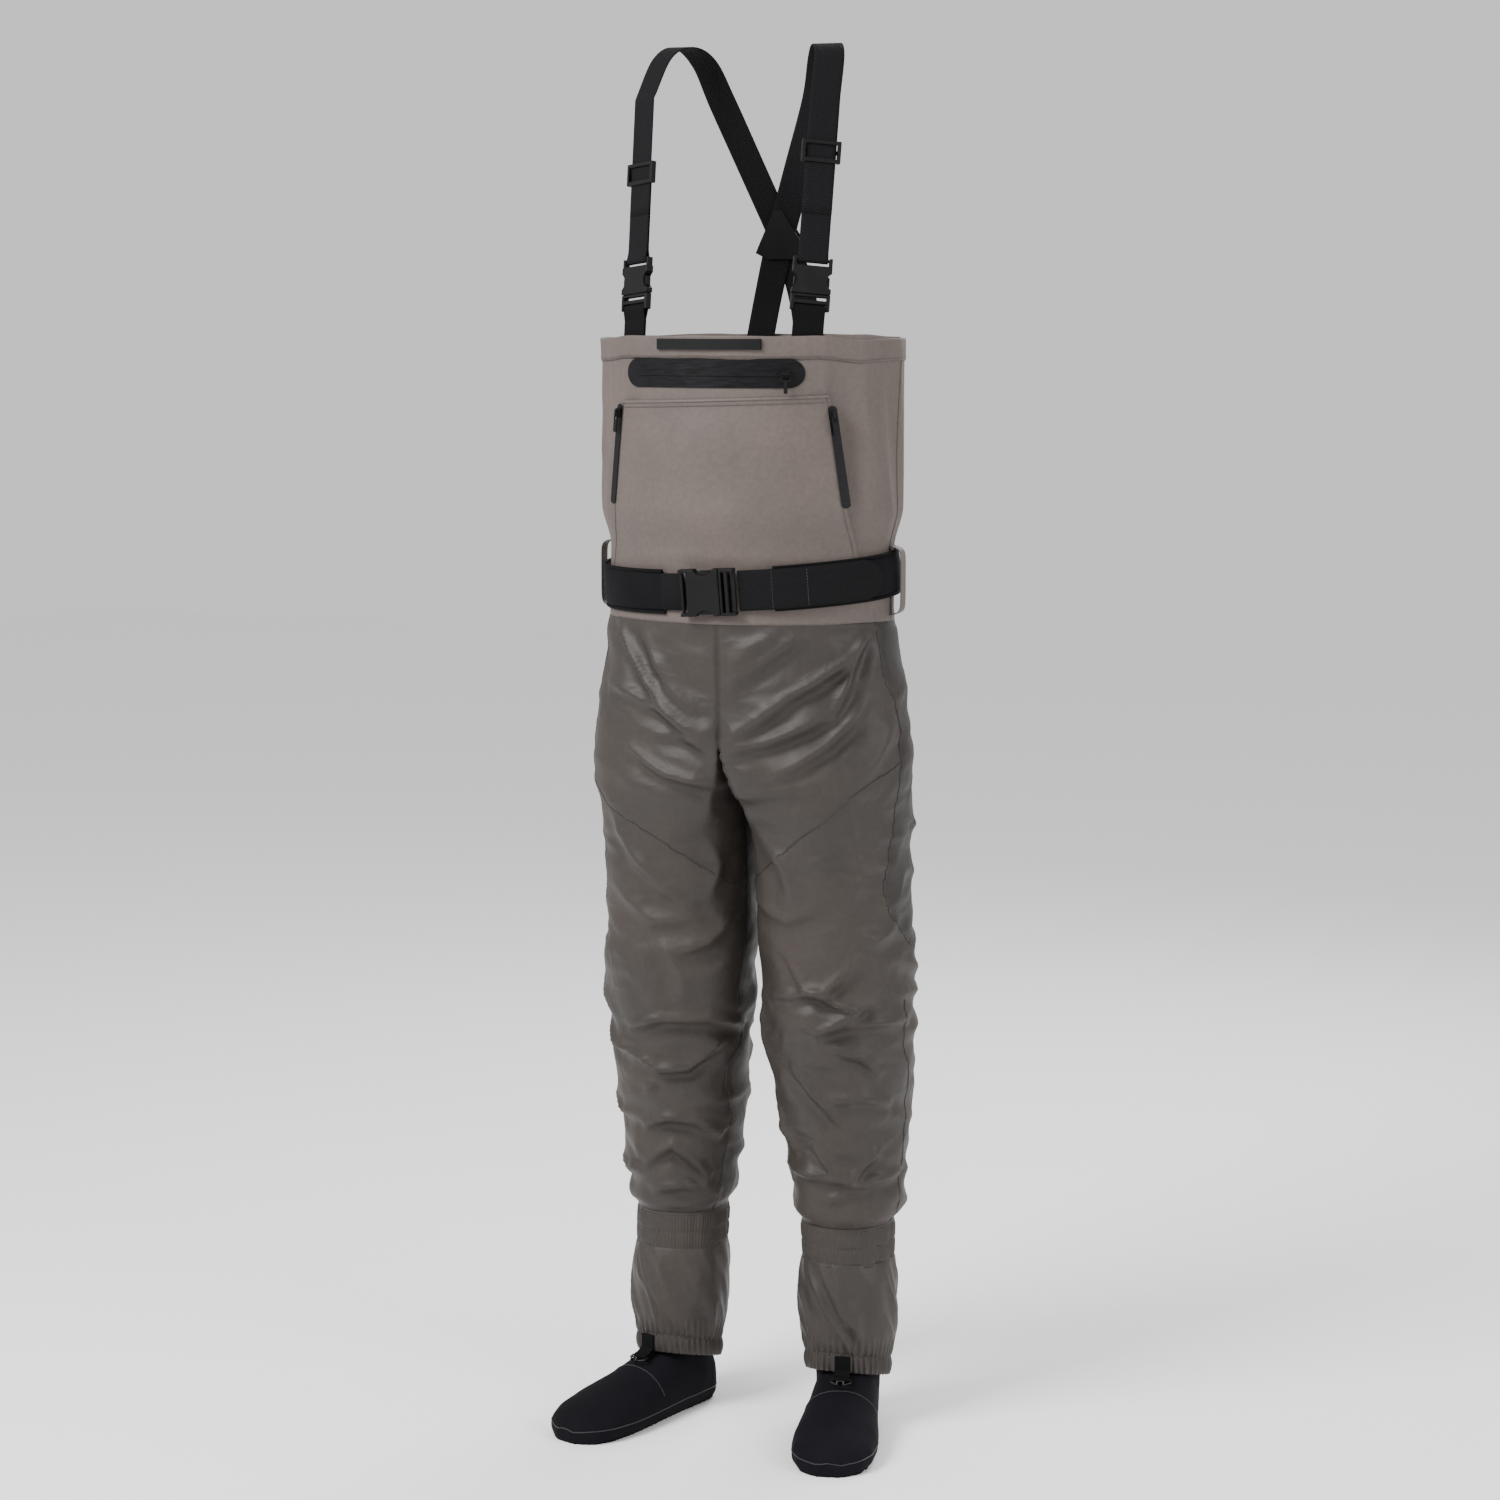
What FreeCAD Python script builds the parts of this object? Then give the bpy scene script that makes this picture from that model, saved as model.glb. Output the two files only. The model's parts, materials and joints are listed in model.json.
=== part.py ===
"""Stockingfoot chest waders, built as the separate pieces that the real pair is sewn and clipped together from.

Millimetres, +Z up. The wearer faces -Y, so the wearer's left side is +X. The soles stand on Z = 0.
Each sub-part has its own function, and left and right pieces come from one function and a mirror.
"""

import FreeCAD
import Part

import math
import os

V = FreeCAD.Vector

# ---------------------------------------------------------------- driving dimensions
FABRIC = 2.0  # wall of the laminated fabric with its seam allowance
NEOPRENE = 4.0  # wall of the sock feet
LAYER_GAP = 0.25  # between two layers that lie on each other
RUN_GAP = 0.35  # round a piece that moves

RIM_Z = 1400.0  # top edge of the bib
BELT_Z = 1101.0  # middle of the belt
BELT_TILT = 4.0  # the belt sits lower in front, degrees
BELT_ROLL = 3.0  # and higher on the wearer's left
HIP_Z = 890.0  # crotch level, where the legs part
HIP_FOLD_Z = 800.0  # the cloth folds between crotch level and here when a leg lifts
KNEE_TOP_Z = 608.0  # and between these two when a knee bends
KNEE_BOTTOM_Z = 502.0
BAND_TOP_Z = 269.0  # calf band and the gravel guard below it
BAND_BOTTOM_Z = 221.0
HEM_Z = 80.0  # middle of the gathered hem at the ankle's middle
HEM_H = 24.0
HEM_T = 1.6
HEM_SLOPE = 15.0  # the hem rides up over the instep, degrees
SOCK_TOP_Z = 108.0  # the foot ends and the ankle sleeve starts

CHEST_HALF_WIDTH = 195.0
CHEST_HALF_DEPTH = 135.0
CHEST_SIDE_R = 95.0
WAIST_HALF_WIDTH = 184.0
WAIST_HALF_DEPTH = 125.0
WAIST_SIDE_R = 88.0
TORSO_Y = 5.0  # middle of the chest, front to back
SEAT_HALF_WIDTH = 208.0
SEAT_HALF_DEPTH = 128.0
SEAT_SIDE_R = 96.0
SEAT_Y = 12.0

BELT_H = 56.0
SEAM_Z = BELT_Z - BELT_H / 2 - 18.0  # seam between bib and trousers, just below the belt
BELT_T = 5.0
BELT_TAIL_T = 3.5
BELT_GAP = 1.5

WEBBING = 38.0  # width of the shoulder straps
WEBBING_T = 1.6
STRAP_LEAN = V(4.0, 42.0, 240.0)  # direction of the front run of a strap
STRAP_FOOT_X = {"left": 109.0, "right": 117.0}  # where a strap crosses the rim
STRAP_RUN = 295.0  # straight front run above the rim
BUCKLE_UP = 53.0  # mouth of the shoulder buckle above the rim
TRIGLIDE_UP = {"left": 226.0, "right": 202.0}

FOOT_SPLAY = {"left": 12.0, "right": 21.0}  # toes turn out, degrees
FOOT_BACK = 50.0
FOOT_FRONT = 216.0
SOLE_T = 5.0

# (height, middle x, middle y, half width, half depth, squareness) of the left leg, top down
LEG = [
    (HIP_Z, SEAT_HALF_WIDTH / 2 - 0.5, SEAT_Y + 1.0, SEAT_HALF_WIDTH / 2 - 4.5, SEAT_HALF_DEPTH - 9.0, 2.5),
    (HIP_Z - 100.0, SEAT_HALF_WIDTH / 2 - 3.0, SEAT_Y + 10.0, SEAT_HALF_WIDTH / 2 - 7.0, SEAT_HALF_DEPTH - 22.0, 2.2),
    (690.0, 102.0, 28.0, 95.0, 101.0, 2.1),
    (555.0, 108.0, 35.0, 95.0, 97.0, 2.0),
    (480.0, 111.0, 45.0, 88.0, 92.0, 2.0),
    (400.0, 112.0, 54.0, 79.0, 85.0, 2.0),
    (325.0, 113.0, 58.0, 71.0, 77.0, 2.0),
    (BAND_TOP_Z, 114.0, 58.0, 58.0, 63.0, 2.0),
    (BAND_BOTTOM_Z, 115.0, 56.0, 57.0, 61.0, 2.0),
    (150.0, 116.0, 52.0, 55.0, 59.0, 2.0),
    (100.0, 117.0, 50.0, 53.0, 58.0, 2.0),
    (40.0, 117.0, 50.0, 52.0, 57.0, 2.0),
]
ANKLE_X, ANKLE_Y = 117.0, 50.0


# ---------------------------------------------------------------- shared geometry
def box(x0, y0, z0, x1, y1, z1):
    return Part.makeBox(x1 - x0, y1 - y0, z1 - z0, V(x0, y0, z0))


def rod(start, end, radius):
    return Part.makeCylinder(radius, (end - start).Length, start, end - start)


def mirrored(shape):
    return shape.mirror(V(0, 0, 0), V(1, 0, 0))


def placed(shape, origin, across, inward, along):
    """Moves a shape so that its X, Y and Z run across, inward and along at origin."""
    m = FreeCAD.Matrix(
        across.x, inward.x, along.x, origin.x,
        across.y, inward.y, along.y, origin.y,
        across.z, inward.z, along.z, origin.z,
        0, 0, 0, 1,
    )  # fmt: skip
    moved = shape.copy()
    moved.Placement = FreeCAD.Placement(m).multiply(moved.Placement)
    return moved


def front_radius(half_width, half_depth, side_r):
    """Radius of the front arc that runs smoothly into the side arcs of an oval."""
    side_x = half_width - side_r
    return (side_x**2 + half_depth**2 - side_r**2) / (2 * (half_depth - side_r))


def oval(half_width, half_depth, side_r, middle_y, z, grow=0.0):
    """A wire of four tangent arcs, grown outwards by grow."""
    big = front_radius(half_width, half_depth, side_r)
    side_x = half_width - side_r
    centre = big - half_depth
    reach = math.hypot(side_x, centre)
    jx = side_x * (big + grow) / reach
    jy = centre * (big + grow) / reach - centre
    a, b = half_width + grow, half_depth + grow

    def p(x, y):
        return V(x, middle_y + y, z)

    arcs = [
        Part.Arc(p(-jx, -jy), p(0, -b), p(jx, -jy)),
        Part.Arc(p(jx, -jy), p(a, 0), p(jx, jy)),
        Part.Arc(p(jx, jy), p(0, b), p(-jx, jy)),
        Part.Arc(p(-jx, jy), p(-a, 0), p(-jx, -jy)),
    ]
    return Part.Wire([arc.toShape() for arc in arcs])


CHEST = (CHEST_HALF_WIDTH, CHEST_HALF_DEPTH, CHEST_SIDE_R, TORSO_Y)
WAIST = (WAIST_HALF_WIDTH, WAIST_HALF_DEPTH, WAIST_SIDE_R, TORSO_Y)
SEAT = (SEAT_HALF_WIDTH, SEAT_HALF_DEPTH, SEAT_SIDE_R, SEAT_Y)
CHEST_R = front_radius(*CHEST[:3])
CHEST_AXIS_Y = TORSO_Y + CHEST_R - CHEST_HALF_DEPTH  # the front arc's middle
BELT_ROOM = BELT_H / 2 + 16.0  # straight part of the waist above the belt's middle
TAPER_Z = BELT_Z + BELT_ROOM + 42.0
TORSO_LEVELS = [
    (SEAM_Z, WAIST),
    (BELT_Z + BELT_ROOM, WAIST),
    (TAPER_Z, CHEST),
    (RIM_Z, CHEST),
]


def torso(grow, low=None, high=None):
    """The bib's outer form as a solid, grown by grow, from low to high."""
    wires = [oval(*form, z, grow) for z, form in TORSO_LEVELS]
    solid = Part.makeLoft(wires, True, True)
    if low is None and high is None:
        return solid
    low = SEAM_Z if low is None else low
    high = RIM_Z if high is None else high
    return solid.common(box(-400, -400, low, 400, 400, high))


def torso_skin(inner, outer, low=None, high=None):
    """A layer of cloth on the bib between two distances from its outer face."""
    return torso(outer, low, high).cut(torso(inner, low, high))


def chest_y(x, grow=0.0):
    """Y of the chest's front face at x."""
    return CHEST_AXIS_Y - math.sqrt((CHEST_R + grow) ** 2 - x**2)


def squarish(half_width, half_depth, power, middle_x, middle_y, z, points=24):
    """A closed smooth wire between an ellipse and a rectangle."""
    ring = []
    for k in range(points):
        t = 2 * math.pi * k / points
        c, s = math.cos(t), math.sin(t)
        x = half_width * math.copysign(abs(c) ** (2 / power), c)
        y = half_depth * math.copysign(abs(s) ** (2 / power), s)
        ring.append(V(middle_x + x, middle_y + y, z))
    curve = Part.BSplineCurve()
    curve.interpolate(ring, PeriodicFlag=True)
    return Part.Wire([curve.toShape()])


def leg_form(z):
    """Middle, half sizes and squareness of the left leg at a height, between LEG's rows."""
    for upper, lower in zip(LEG, LEG[1:]):
        if lower[0] <= z <= upper[0]:
            t = (upper[0] - z) / (upper[0] - lower[0])
            return [a + (b - a) * t for a, b in zip(upper[1:], lower[1:])]
    raise ValueError(f"no leg at {z}")


def leg_solid(top, bottom, grow):
    heights = [top] + [row[0] for row in LEG if bottom < row[0] < top] + [bottom]
    wires = []
    for z in heights:
        x, y, a, b, power = leg_form(z)
        wires.append(squarish(a + grow, b + grow, power, x, y, z))
    return Part.makeLoft(wires, True, True)


def leg_tube(top, bottom, outer=0.0, wall=FABRIC):
    return leg_solid(top, bottom, outer).cut(leg_solid(top, bottom, outer - wall))


def strip(path, thickness, width):
    """Bends a band of webbing along path, points (y, z), and gives it its width along X."""
    left, right = [], []
    for i, (y, z) in enumerate(path):
        before, after = path[max(i - 1, 0)], path[min(i + 1, len(path) - 1)]
        dy, dz = after[0] - before[0], after[1] - before[1]
        size = math.hypot(dy, dz)
        ny, nz = -dz / size * thickness / 2, dy / size * thickness / 2
        left.append(V(0, y + ny, z + nz))
        right.append(V(0, y - ny, z - nz))
    outline = left + right[::-1] + left[:1]
    face = Part.Face(Part.makePolygon(outline))
    face.translate(V(-width / 2, 0, 0))
    return face.extrude(V(width, 0, 0))


def arc_points(middle_y, middle_z, radius, start, end, steps):
    """Points on an arc in the YZ plane, angles in degrees from +Y towards +Z."""
    angles = [math.radians(start + (end - start) * k / steps) for k in range(steps + 1)]
    return [(middle_y + radius * math.cos(t), middle_z + radius * math.sin(t)) for t in angles]


# ---------------------------------------------------------------- bib
def bib_half(front):
    skin = torso_skin(-FABRIC, 0.0)
    side = box(-400, -400, 0, 400, TORSO_Y, 2000) if front else box(-400, TORSO_Y, 0, 400, 400, 2000)
    return skin.common(side)


RIM_HEM_H = 24.0
RIM_HEM_T = 1.4


def top_hem():
    """The turned-over edge of the bib, on the outside, with its fold over the rim."""
    wall = torso_skin(LAYER_GAP, LAYER_GAP + RIM_HEM_T, RIM_Z - RIM_HEM_H)
    cap_low, cap_high = RIM_Z + LAYER_GAP, RIM_Z + LAYER_GAP + RIM_HEM_T
    outer = Part.Face(oval(*CHEST, RIM_Z, LAYER_GAP + RIM_HEM_T))
    inner = Part.Face(oval(*CHEST, RIM_Z, -FABRIC))
    cap = outer.cut(inner).extrude(V(0, 0, cap_high - RIM_Z))
    keep_off = Part.Face(oval(*CHEST, RIM_Z, LAYER_GAP)).extrude(V(0, 0, cap_low - RIM_Z))
    hem = wall.fuse(cap.cut(keep_off)).removeSplitter()
    for x in (STRAP_FOOT_X["left"], -STRAP_FOOT_X["right"]):
        hem = hem.cut(box(x - 24, -125, RIM_Z, x + 24, -75, RIM_Z + 20))
    return hem


PATCH_X, PATCH_W, PATCH_H, PATCH_T = -8.0, 234.0, 35.0, 1.2
PATCH_Z = RIM_Z - 43.0
CHAIN_H, CHAIN_T = 6.0, 1.4
CHAIN_END = 102.0  # each way from the patch's middle
CHEST_SLIDER_X = PATCH_X + CHAIN_END - 6.0


def stadium_prism(length, height, x, z, tilt=0.0):
    """A slot-shaped bar along Y through the front of the bib, tilted in the XZ plane."""
    r = height / 2
    half = length / 2 - r
    bar = box(-half, -400, -r, half, 0, r)
    for end in (-half, half):
        bar = bar.fuse(rod(V(end, -400, 0), V(end, 0, 0), r))
    bar.rotate(V(0, 0, 0), V(0, 1, 0), tilt)
    bar.translate(V(x, 0, z))
    return bar


def chest_zip_patch():
    skin = torso_skin(LAYER_GAP, LAYER_GAP + PATCH_T, TAPER_Z, RIM_Z - RIM_HEM_H - 0.5)
    return skin.common(stadium_prism(PATCH_W, PATCH_H, PATCH_X, PATCH_Z))


CHAIN_BASE = LAYER_GAP + PATCH_T


def chest_zip_chain():
    skin = torso_skin(CHAIN_BASE, CHAIN_BASE + CHAIN_T, TAPER_Z)
    low, high = PATCH_Z - CHAIN_H / 2, PATCH_Z + CHAIN_H / 2
    return skin.common(box(PATCH_X - CHAIN_END, -400, low, PATCH_X + CHAIN_END, 0, high))


EYE_Y, EYE_R = -4.4, 1.2


def slider_shape():
    """A zip slider. X runs across the chain, Y into the cloth, Z along the chain."""
    plate = box(-4.2, -3.2, -5.5, 4.2, 0, 5.5)
    plate = plate.makeFillet(1.0, [e for e in plate.Edges if abs(e.tangentAt(0).y) > 0.9])
    crown = box(-1.4, -6.4, -4.2, 1.4, -3.2, 4.2)
    return plate.fuse(crown).cut(rod(V(-5, EYE_Y, 0), V(5, EYE_Y, 0), EYE_R)).removeSplitter()


PULL_PIN_R = 0.85
PULL_LENGTH = 24.0


def pull_shape(length=PULL_LENGTH):
    """A pull tab that hangs from the slider's eye, down -Z, with its eye pin along X."""
    pin = rod(V(-3.4, -4.4, 0), V(3.4, -4.4, 0), PULL_PIN_R)
    sides = box(-3.4, -5.2, -9.0, -1.9, -3.7, 0).fuse(box(1.9, -5.2, -9.0, 3.4, -3.7, 0))
    for x in (-3.4, 1.9):
        sides = sides.fuse(rod(V(x, -4.4, 0), V(x + 1.5, -4.4, 0), PULL_PIN_R))
    grip = box(-3.4, -5.4, -length, 3.4, -3.4, -8.0)
    grip = grip.makeFillet(0.8, grip.Edges)
    return pin.fuse(sides).fuse(grip).removeSplitter()


def chest_frame(x, grow):
    """Origin and directions on the chest's front at x: across is level, inward is into the chest."""
    t = math.asin(x / (CHEST_R + grow))
    across = V(math.cos(t), math.sin(t), 0)
    inward = V(-math.sin(t), math.cos(t), 0)
    return across, inward


SLIDER_GROW = CHAIN_BASE + CHAIN_T + RUN_GAP


def chest_slider():
    across, inward = chest_frame(CHEST_SLIDER_X, SLIDER_GROW)
    origin = V(CHEST_SLIDER_X, chest_y(CHEST_SLIDER_X, SLIDER_GROW), PATCH_Z)
    # the slider's own Z runs along the chain, which is level here
    flat = placed(slider_shape(), V(0, 0, 0), V(0, 0, -1), V(0, 1, 0), V(1, 0, 0))
    eye = rod(V(-6, EYE_Y, 0), V(6, EYE_Y, 0), EYE_R)
    return placed(flat.cut(eye), origin, across, inward, V(0, 0, 1))


def chest_pull():
    across, inward = chest_frame(CHEST_SLIDER_X, SLIDER_GROW)
    origin = V(CHEST_SLIDER_X, chest_y(CHEST_SLIDER_X, SLIDER_GROW), PATCH_Z)
    pin = rod(V(-5.6, -4.4, 0), V(5.6, -4.4, 0), PULL_PIN_R)
    ring = Part.makeBox(1.6, 1.7, 9.0, V(-6.6, -5.25, -8.2)).fuse(
        Part.makeBox(1.6, 1.7, 9.0, V(5.0, -5.25, -8.2))
    )
    bridge = Part.makeBox(13.2, 1.7, 2.0, V(-6.6, -5.25, -9.8))
    grip = box(-2.4, -5.3, -PULL_LENGTH, 2.4, -3.5, -9.0)
    grip = grip.makeFillet(0.6, grip.Edges)
    pull = pin.fuse(ring).fuse(bridge).fuse(grip).removeSplitter()
    return placed(pull, origin, across, inward, V(0, 0, 1))


def chest_pocket_bag():
    """The bag behind the chest zip: two layers, closed at the sides and bottom."""
    out, back = -FABRIC - 1.5, -FABRIC - 9.0
    low, high = TAPER_Z, PATCH_Z + 12.0
    whole = torso_skin(back, out, low, high).common(box(-112, -400, low, 112, 0, high))
    hollow = torso_skin(back + 1.0, out - 1.0, low, high)
    hollow = hollow.common(box(-111, -400, low + 1.0, 111, 0, high))
    return whole.cut(hollow)


POUCH_TOP_Z, POUCH_TOP_RISE, POUCH_TOP_X = RIM_Z - 78.0, 9.0, 135.0
POUCH_BOTTOM_Z, POUCH_BOTTOM_X = BELT_Z - 6.0, 166.0
POUCH_T = 1.5
ZIP_TOP = (138.0, POUCH_TOP_Z - 4.0)  # x, z
ZIP_BOTTOM = (153.5, POUCH_TOP_Z - 128.0)
ZIP_W, ZIP_T = 9.0, 1.3


def handwarmer_pouch():
    skin = torso_skin(LAYER_GAP, LAYER_GAP + POUCH_T)
    outline = Part.makePolygon(
        [
            V(-POUCH_TOP_X, -400, POUCH_TOP_Z),
            V(POUCH_TOP_X, -400, POUCH_TOP_Z + POUCH_TOP_RISE),
            V(POUCH_BOTTOM_X, -400, POUCH_BOTTOM_Z),
            V(-POUCH_BOTTOM_X, -400, POUCH_BOTTOM_Z),
            V(-POUCH_TOP_X, -400, POUCH_TOP_Z),
        ]
    )
    return skin.common(Part.Face(outline).extrude(V(0, 400, 0)))


ZIP_BASE = LAYER_GAP * 2 + POUCH_T


def pouch_zip_left():
    dx, dz = ZIP_BOTTOM[0] - ZIP_TOP[0], ZIP_BOTTOM[1] - ZIP_TOP[1]
    x, z = (ZIP_TOP[0] + ZIP_BOTTOM[0]) / 2, (ZIP_TOP[1] + ZIP_BOTTOM[1]) / 2
    tilt = math.degrees(math.atan2(-dz, dx))
    skin = torso_skin(ZIP_BASE, ZIP_BASE + ZIP_T)
    return skin.common(stadium_prism(math.hypot(dx, dz), ZIP_W, x, z, tilt))


ZIP_GROW = ZIP_BASE + ZIP_T + RUN_GAP + 0.3
ZIP_START = 0.09  # share of the zip above the slider at rest
ZIP_STOP = 0.92


def zip_point(share):
    x = ZIP_TOP[0] + (ZIP_BOTTOM[0] - ZIP_TOP[0]) * share
    z = ZIP_TOP[1] + (ZIP_BOTTOM[1] - ZIP_TOP[1]) * share
    return V(x, chest_y(x, ZIP_GROW), z)


def zip_frame():
    """Origin of the left pouch slider and its directions: along runs up the zip."""
    start, end = zip_point(ZIP_START), zip_point(ZIP_STOP)
    along = (start - end).normalize()
    middle = zip_point((ZIP_START + ZIP_STOP) / 2)
    inward = V(-middle.x, CHEST_AXIS_Y - middle.y, 0).normalize()
    across = inward.cross(along).normalize()
    return start, across, along.cross(across), along


STRIP_X0, STRIP_X1 = -76.0, 60.0
STRIP_H, STRIP_T, STRIP_GAP = 13.0, 1.3, 2.6


def docking_strip():
    """A stiff strip sewn down at its ends and middle, so that tools clip on behind it."""
    z0 = RIM_Z - RIM_HEM_H + 9.5
    base = LAYER_GAP * 2 + RIM_HEM_T
    strip_layer = torso_skin(base + STRIP_GAP, base + STRIP_GAP + STRIP_T, z0, z0 + STRIP_H)
    shape = strip_layer.common(box(STRIP_X0, -400, z0, STRIP_X1, 0, z0 + STRIP_H))
    feet = torso_skin(base, base + STRIP_GAP, z0, z0 + STRIP_H)
    middle = (STRIP_X0 + STRIP_X1) / 2
    for x in (STRIP_X0, middle - 3.0, STRIP_X1 - 6.0):
        shape = shape.fuse(feet.common(box(x, -400, z0, x + 6.0, 0, z0 + STRIP_H)))
    return shape.removeSplitter()


# ---------------------------------------------------------------- side-release buckles
class Buckle:
    """Sizes of a side-release buckle. X is its width, Y its thickness, Z the way in."""

    def __init__(self, webbing, thickness, height):
        self.w = webbing / 2 + 5.0
        self.slot = webbing / 2 + 1.0
        self.t = thickness / 2
        self.h = height
        self.cavity_w = self.w - 3.5
        self.cavity_t = self.t - 1.9
        self.bite_r = height * 0.33
        self.bite_z = height * 0.47
        self.bite_x = self.w + self.bite_r * 0.45
        self.bar_z = height + 7.0
        self.bar_r = 2.0
        self.arm_t = self.cavity_t - RUN_GAP
        self.arm_root = (self.cavity_w - 7.0, self.cavity_w - 2.0)
        self.arm_tip = self.w - 2.2
        self.arm_top = height - 8.0


SHOULDER = Buckle(WEBBING, 11.0, 34.0)
WAIST_BUCKLE = Buckle(BELT_H - 8.0, 13.0, 42.0)


def rounded_box(x0, y0, z0, x1, y1, z1, r):
    block = box(x0, y0, z0, x1, y1, z1)
    return block.makeFillet(r, block.Edges)


def buckle_female(b):
    body = rounded_box(-b.w, -b.t, 0, b.w, b.t, b.h, 1.4)
    for side in (-1, 1):
        wing = rounded_box(min(side * b.slot, side * b.w), -b.t + 1.5, b.h - 4,
                           max(side * b.slot, side * b.w), b.t - 1.5, b.bar_z + b.bar_r + 1.0, 0.9)
        body = body.fuse(wing)
    bar = rod(V(-b.slot - 1, 0, b.bar_z), V(b.slot + 1, 0, b.bar_z), b.bar_r)
    body = body.fuse(bar)
    body = body.cut(box(-b.cavity_w, -b.cavity_t, -1, b.cavity_w, b.cavity_t, b.h - 5.0))
    for side in (-1, 1):
        x = side * b.bite_x
        body = body.cut(rod(V(x, -50, b.bite_z), V(x, 50, b.bite_z), b.bite_r))
    return body


RAIL_T, RAIL_W = 2.0, 4.2
MALE_RAIL = 18.1  # the rail that the webbing folds round, below the buckle's mouth


def buckle_male(b):
    base = rounded_box(-b.w, -b.t + 1.2, -MALE_RAIL - RAIL_W / 2, b.w, b.t - 1.2, -0.4, 1.2)
    base = base.cut(box(-b.slot, -50, -8.0, b.slot, 50, -3.6))
    rail_top = -MALE_RAIL + RAIL_W / 2
    base = base.cut(box(-b.slot, -50, rail_top, b.slot, 50, -12.0))
    base = base.cut(box(-b.slot, -50, -30, b.slot, -RAIL_T, rail_top))
    base = base.cut(box(-b.slot, RAIL_T, -30, b.slot, 50, rail_top))
    tongue = rounded_box(-4.0, -b.arm_t, -3.0, 4.0, b.arm_t, b.arm_top - 3.0, 0.8)
    return base.fuse(tongue)


def buckle_arm(b):
    """The +X arm: a springy leg with a paddle that fills the side window."""
    x0, x1 = b.arm_root
    low, high = b.bite_z - b.bite_r * 0.62, b.bite_z + b.bite_r * 0.5
    outline = [
        V(x0, 0, 0.1), V(x1, 0, 0.1), V(x1, 0, low - 0.6), V(b.arm_tip, 0, low + 0.4),
        V(b.arm_tip, 0, high - 2.0), V(x1 - 0.6, 0, b.arm_top - 2.0), V(x1 - 3.0, 0, b.arm_top),
        V(x0 + 0.6, 0, b.arm_top), V(x0 + 0.6, 0, 10.0), V(x0, 0, 0.1),
    ]  # fmt: skip
    face = Part.Face(Part.makePolygon(outline))
    face.translate(V(0, -b.arm_t, 0))
    return face.extrude(V(0, 2 * b.arm_t, 0))


def strap_frame(side):
    """Rim point and directions of a strap's front run, on the +X side before mirroring."""
    foot_x = STRAP_FOOT_X[side]
    across, _ = chest_frame(foot_x, 0)
    along = V(STRAP_LEAN).normalize()
    across = (across - along * across.dot(along)).normalize()
    inward = along.cross(across).normalize()
    middle_of_wall = -FABRIC - LAYER_GAP - 3.2
    origin = V(foot_x, chest_y(foot_x, middle_of_wall), RIM_Z)
    return origin, across, inward, along


def on_strap(shape, up, side):
    origin, across, inward, along = strap_frame(side)
    return placed(shape, origin + along * up, across, inward, along)


TAB_DOWN = 22.0  # how far the tab reaches down inside the hem


def front_tab(side):
    """Webbing from inside the hem, round the male half's lower rail and back down."""
    r = RAIL_T + RUN_GAP + WEBBING_T / 2
    lay = WEBBING_T / 2 + 0.1
    rail_z = BUCKLE_UP - MALE_RAIL
    upright = TAB_DOWN * STRAP_LEAN.y / STRAP_LEAN.z  # inside the bib the tab hangs plumb
    path = [(lay + upright, -TAB_DOWN), (lay, 0), (lay, rail_z - 14.0), (r, rail_z - 3.0)]
    path += arc_points(0, rail_z + 1.6, r, 0, 180, 10)
    path += [(-r, rail_z - 3.0), (-lay, rail_z - 14.0), (-lay, 0), (upright - lay, -TAB_DOWN)]
    return on_strap(strip(path, WEBBING_T, WEBBING), 0, side)


LOOP_FRONT_UP = 150.0


def strap_loop(side):
    """The doubled run between the buckle's bar and the adjuster."""
    b = SHOULDER
    r = b.bar_r + RUN_GAP + WEBBING_T / 2
    bar = BUCKLE_UP + b.bar_z
    lay = WEBBING_T / 2 + 0.3
    path = [(-lay, LOOP_FRONT_UP), (-lay, bar + 20.0), (-r, bar + 2.0)]
    path += arc_points(0, bar, r, 180, 360, 10)
    path += [(r, bar + 2.0), (lay, bar + 20.0), (lay, TRIGLIDE_UP[side] - TRIGLIDE_BAR / 2 - 0.4)]
    return on_strap(strip(path, WEBBING_T, WEBBING), 0, side)


TRIGLIDE_BAR = 5.0
TRIGLIDE_H = 27.0


def triglide():
    """Adjuster: front rails at top and bottom, and a middle bar behind the strap."""
    w, h = WEBBING / 2 + 5.0, TRIGLIDE_H / 2
    inner = WEBBING / 2 + 0.8
    front = -(WEBBING_T / 2 + 0.3) - WEBBING_T / 2 - RUN_GAP
    back = -(WEBBING_T / 2 + 0.3) + WEBBING_T / 2 + RUN_GAP
    frame = rounded_box(-w, front - 2.4, -h, w, back + 2.6, h, 1.1)
    frame = frame.cut(box(-inner, front, -50, inner, 50, 50))
    frame = frame.cut(box(-inner, -50, -h + 4.6, inner, 50, h - 4.6))
    bar = box(-inner - 1, back, -TRIGLIDE_BAR / 2, inner + 1, back + 2.6, TRIGLIDE_BAR / 2)
    return frame.fuse(bar)


# ---------------------------------------------------------------- shoulder straps
PATCH_MIDDLE = V(0, 116.0, RIM_Z + 127.0)  # of the back patch
BACK_FOOT_X = 32.0


def smooth_path(points, steps):
    """Points on a curve that passes through the given ones."""
    padded = [points[0] * 2 - points[1]] + points + [points[-1] * 2 - points[-2]]
    out = []
    for a, b, c, d in zip(padded, padded[1:], padded[2:], padded[3:]):
        for k in range(steps):
            t = k / steps
            out.append(
                (b * 2 + (c - a) * t + (a * 2 - b * 5 + c * 4 - d) * t**2
                 + (b * 3 - a - c * 3 + d) * t**3) * 0.5
            )  # fmt: skip
    return out + [points[-1]]


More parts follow.
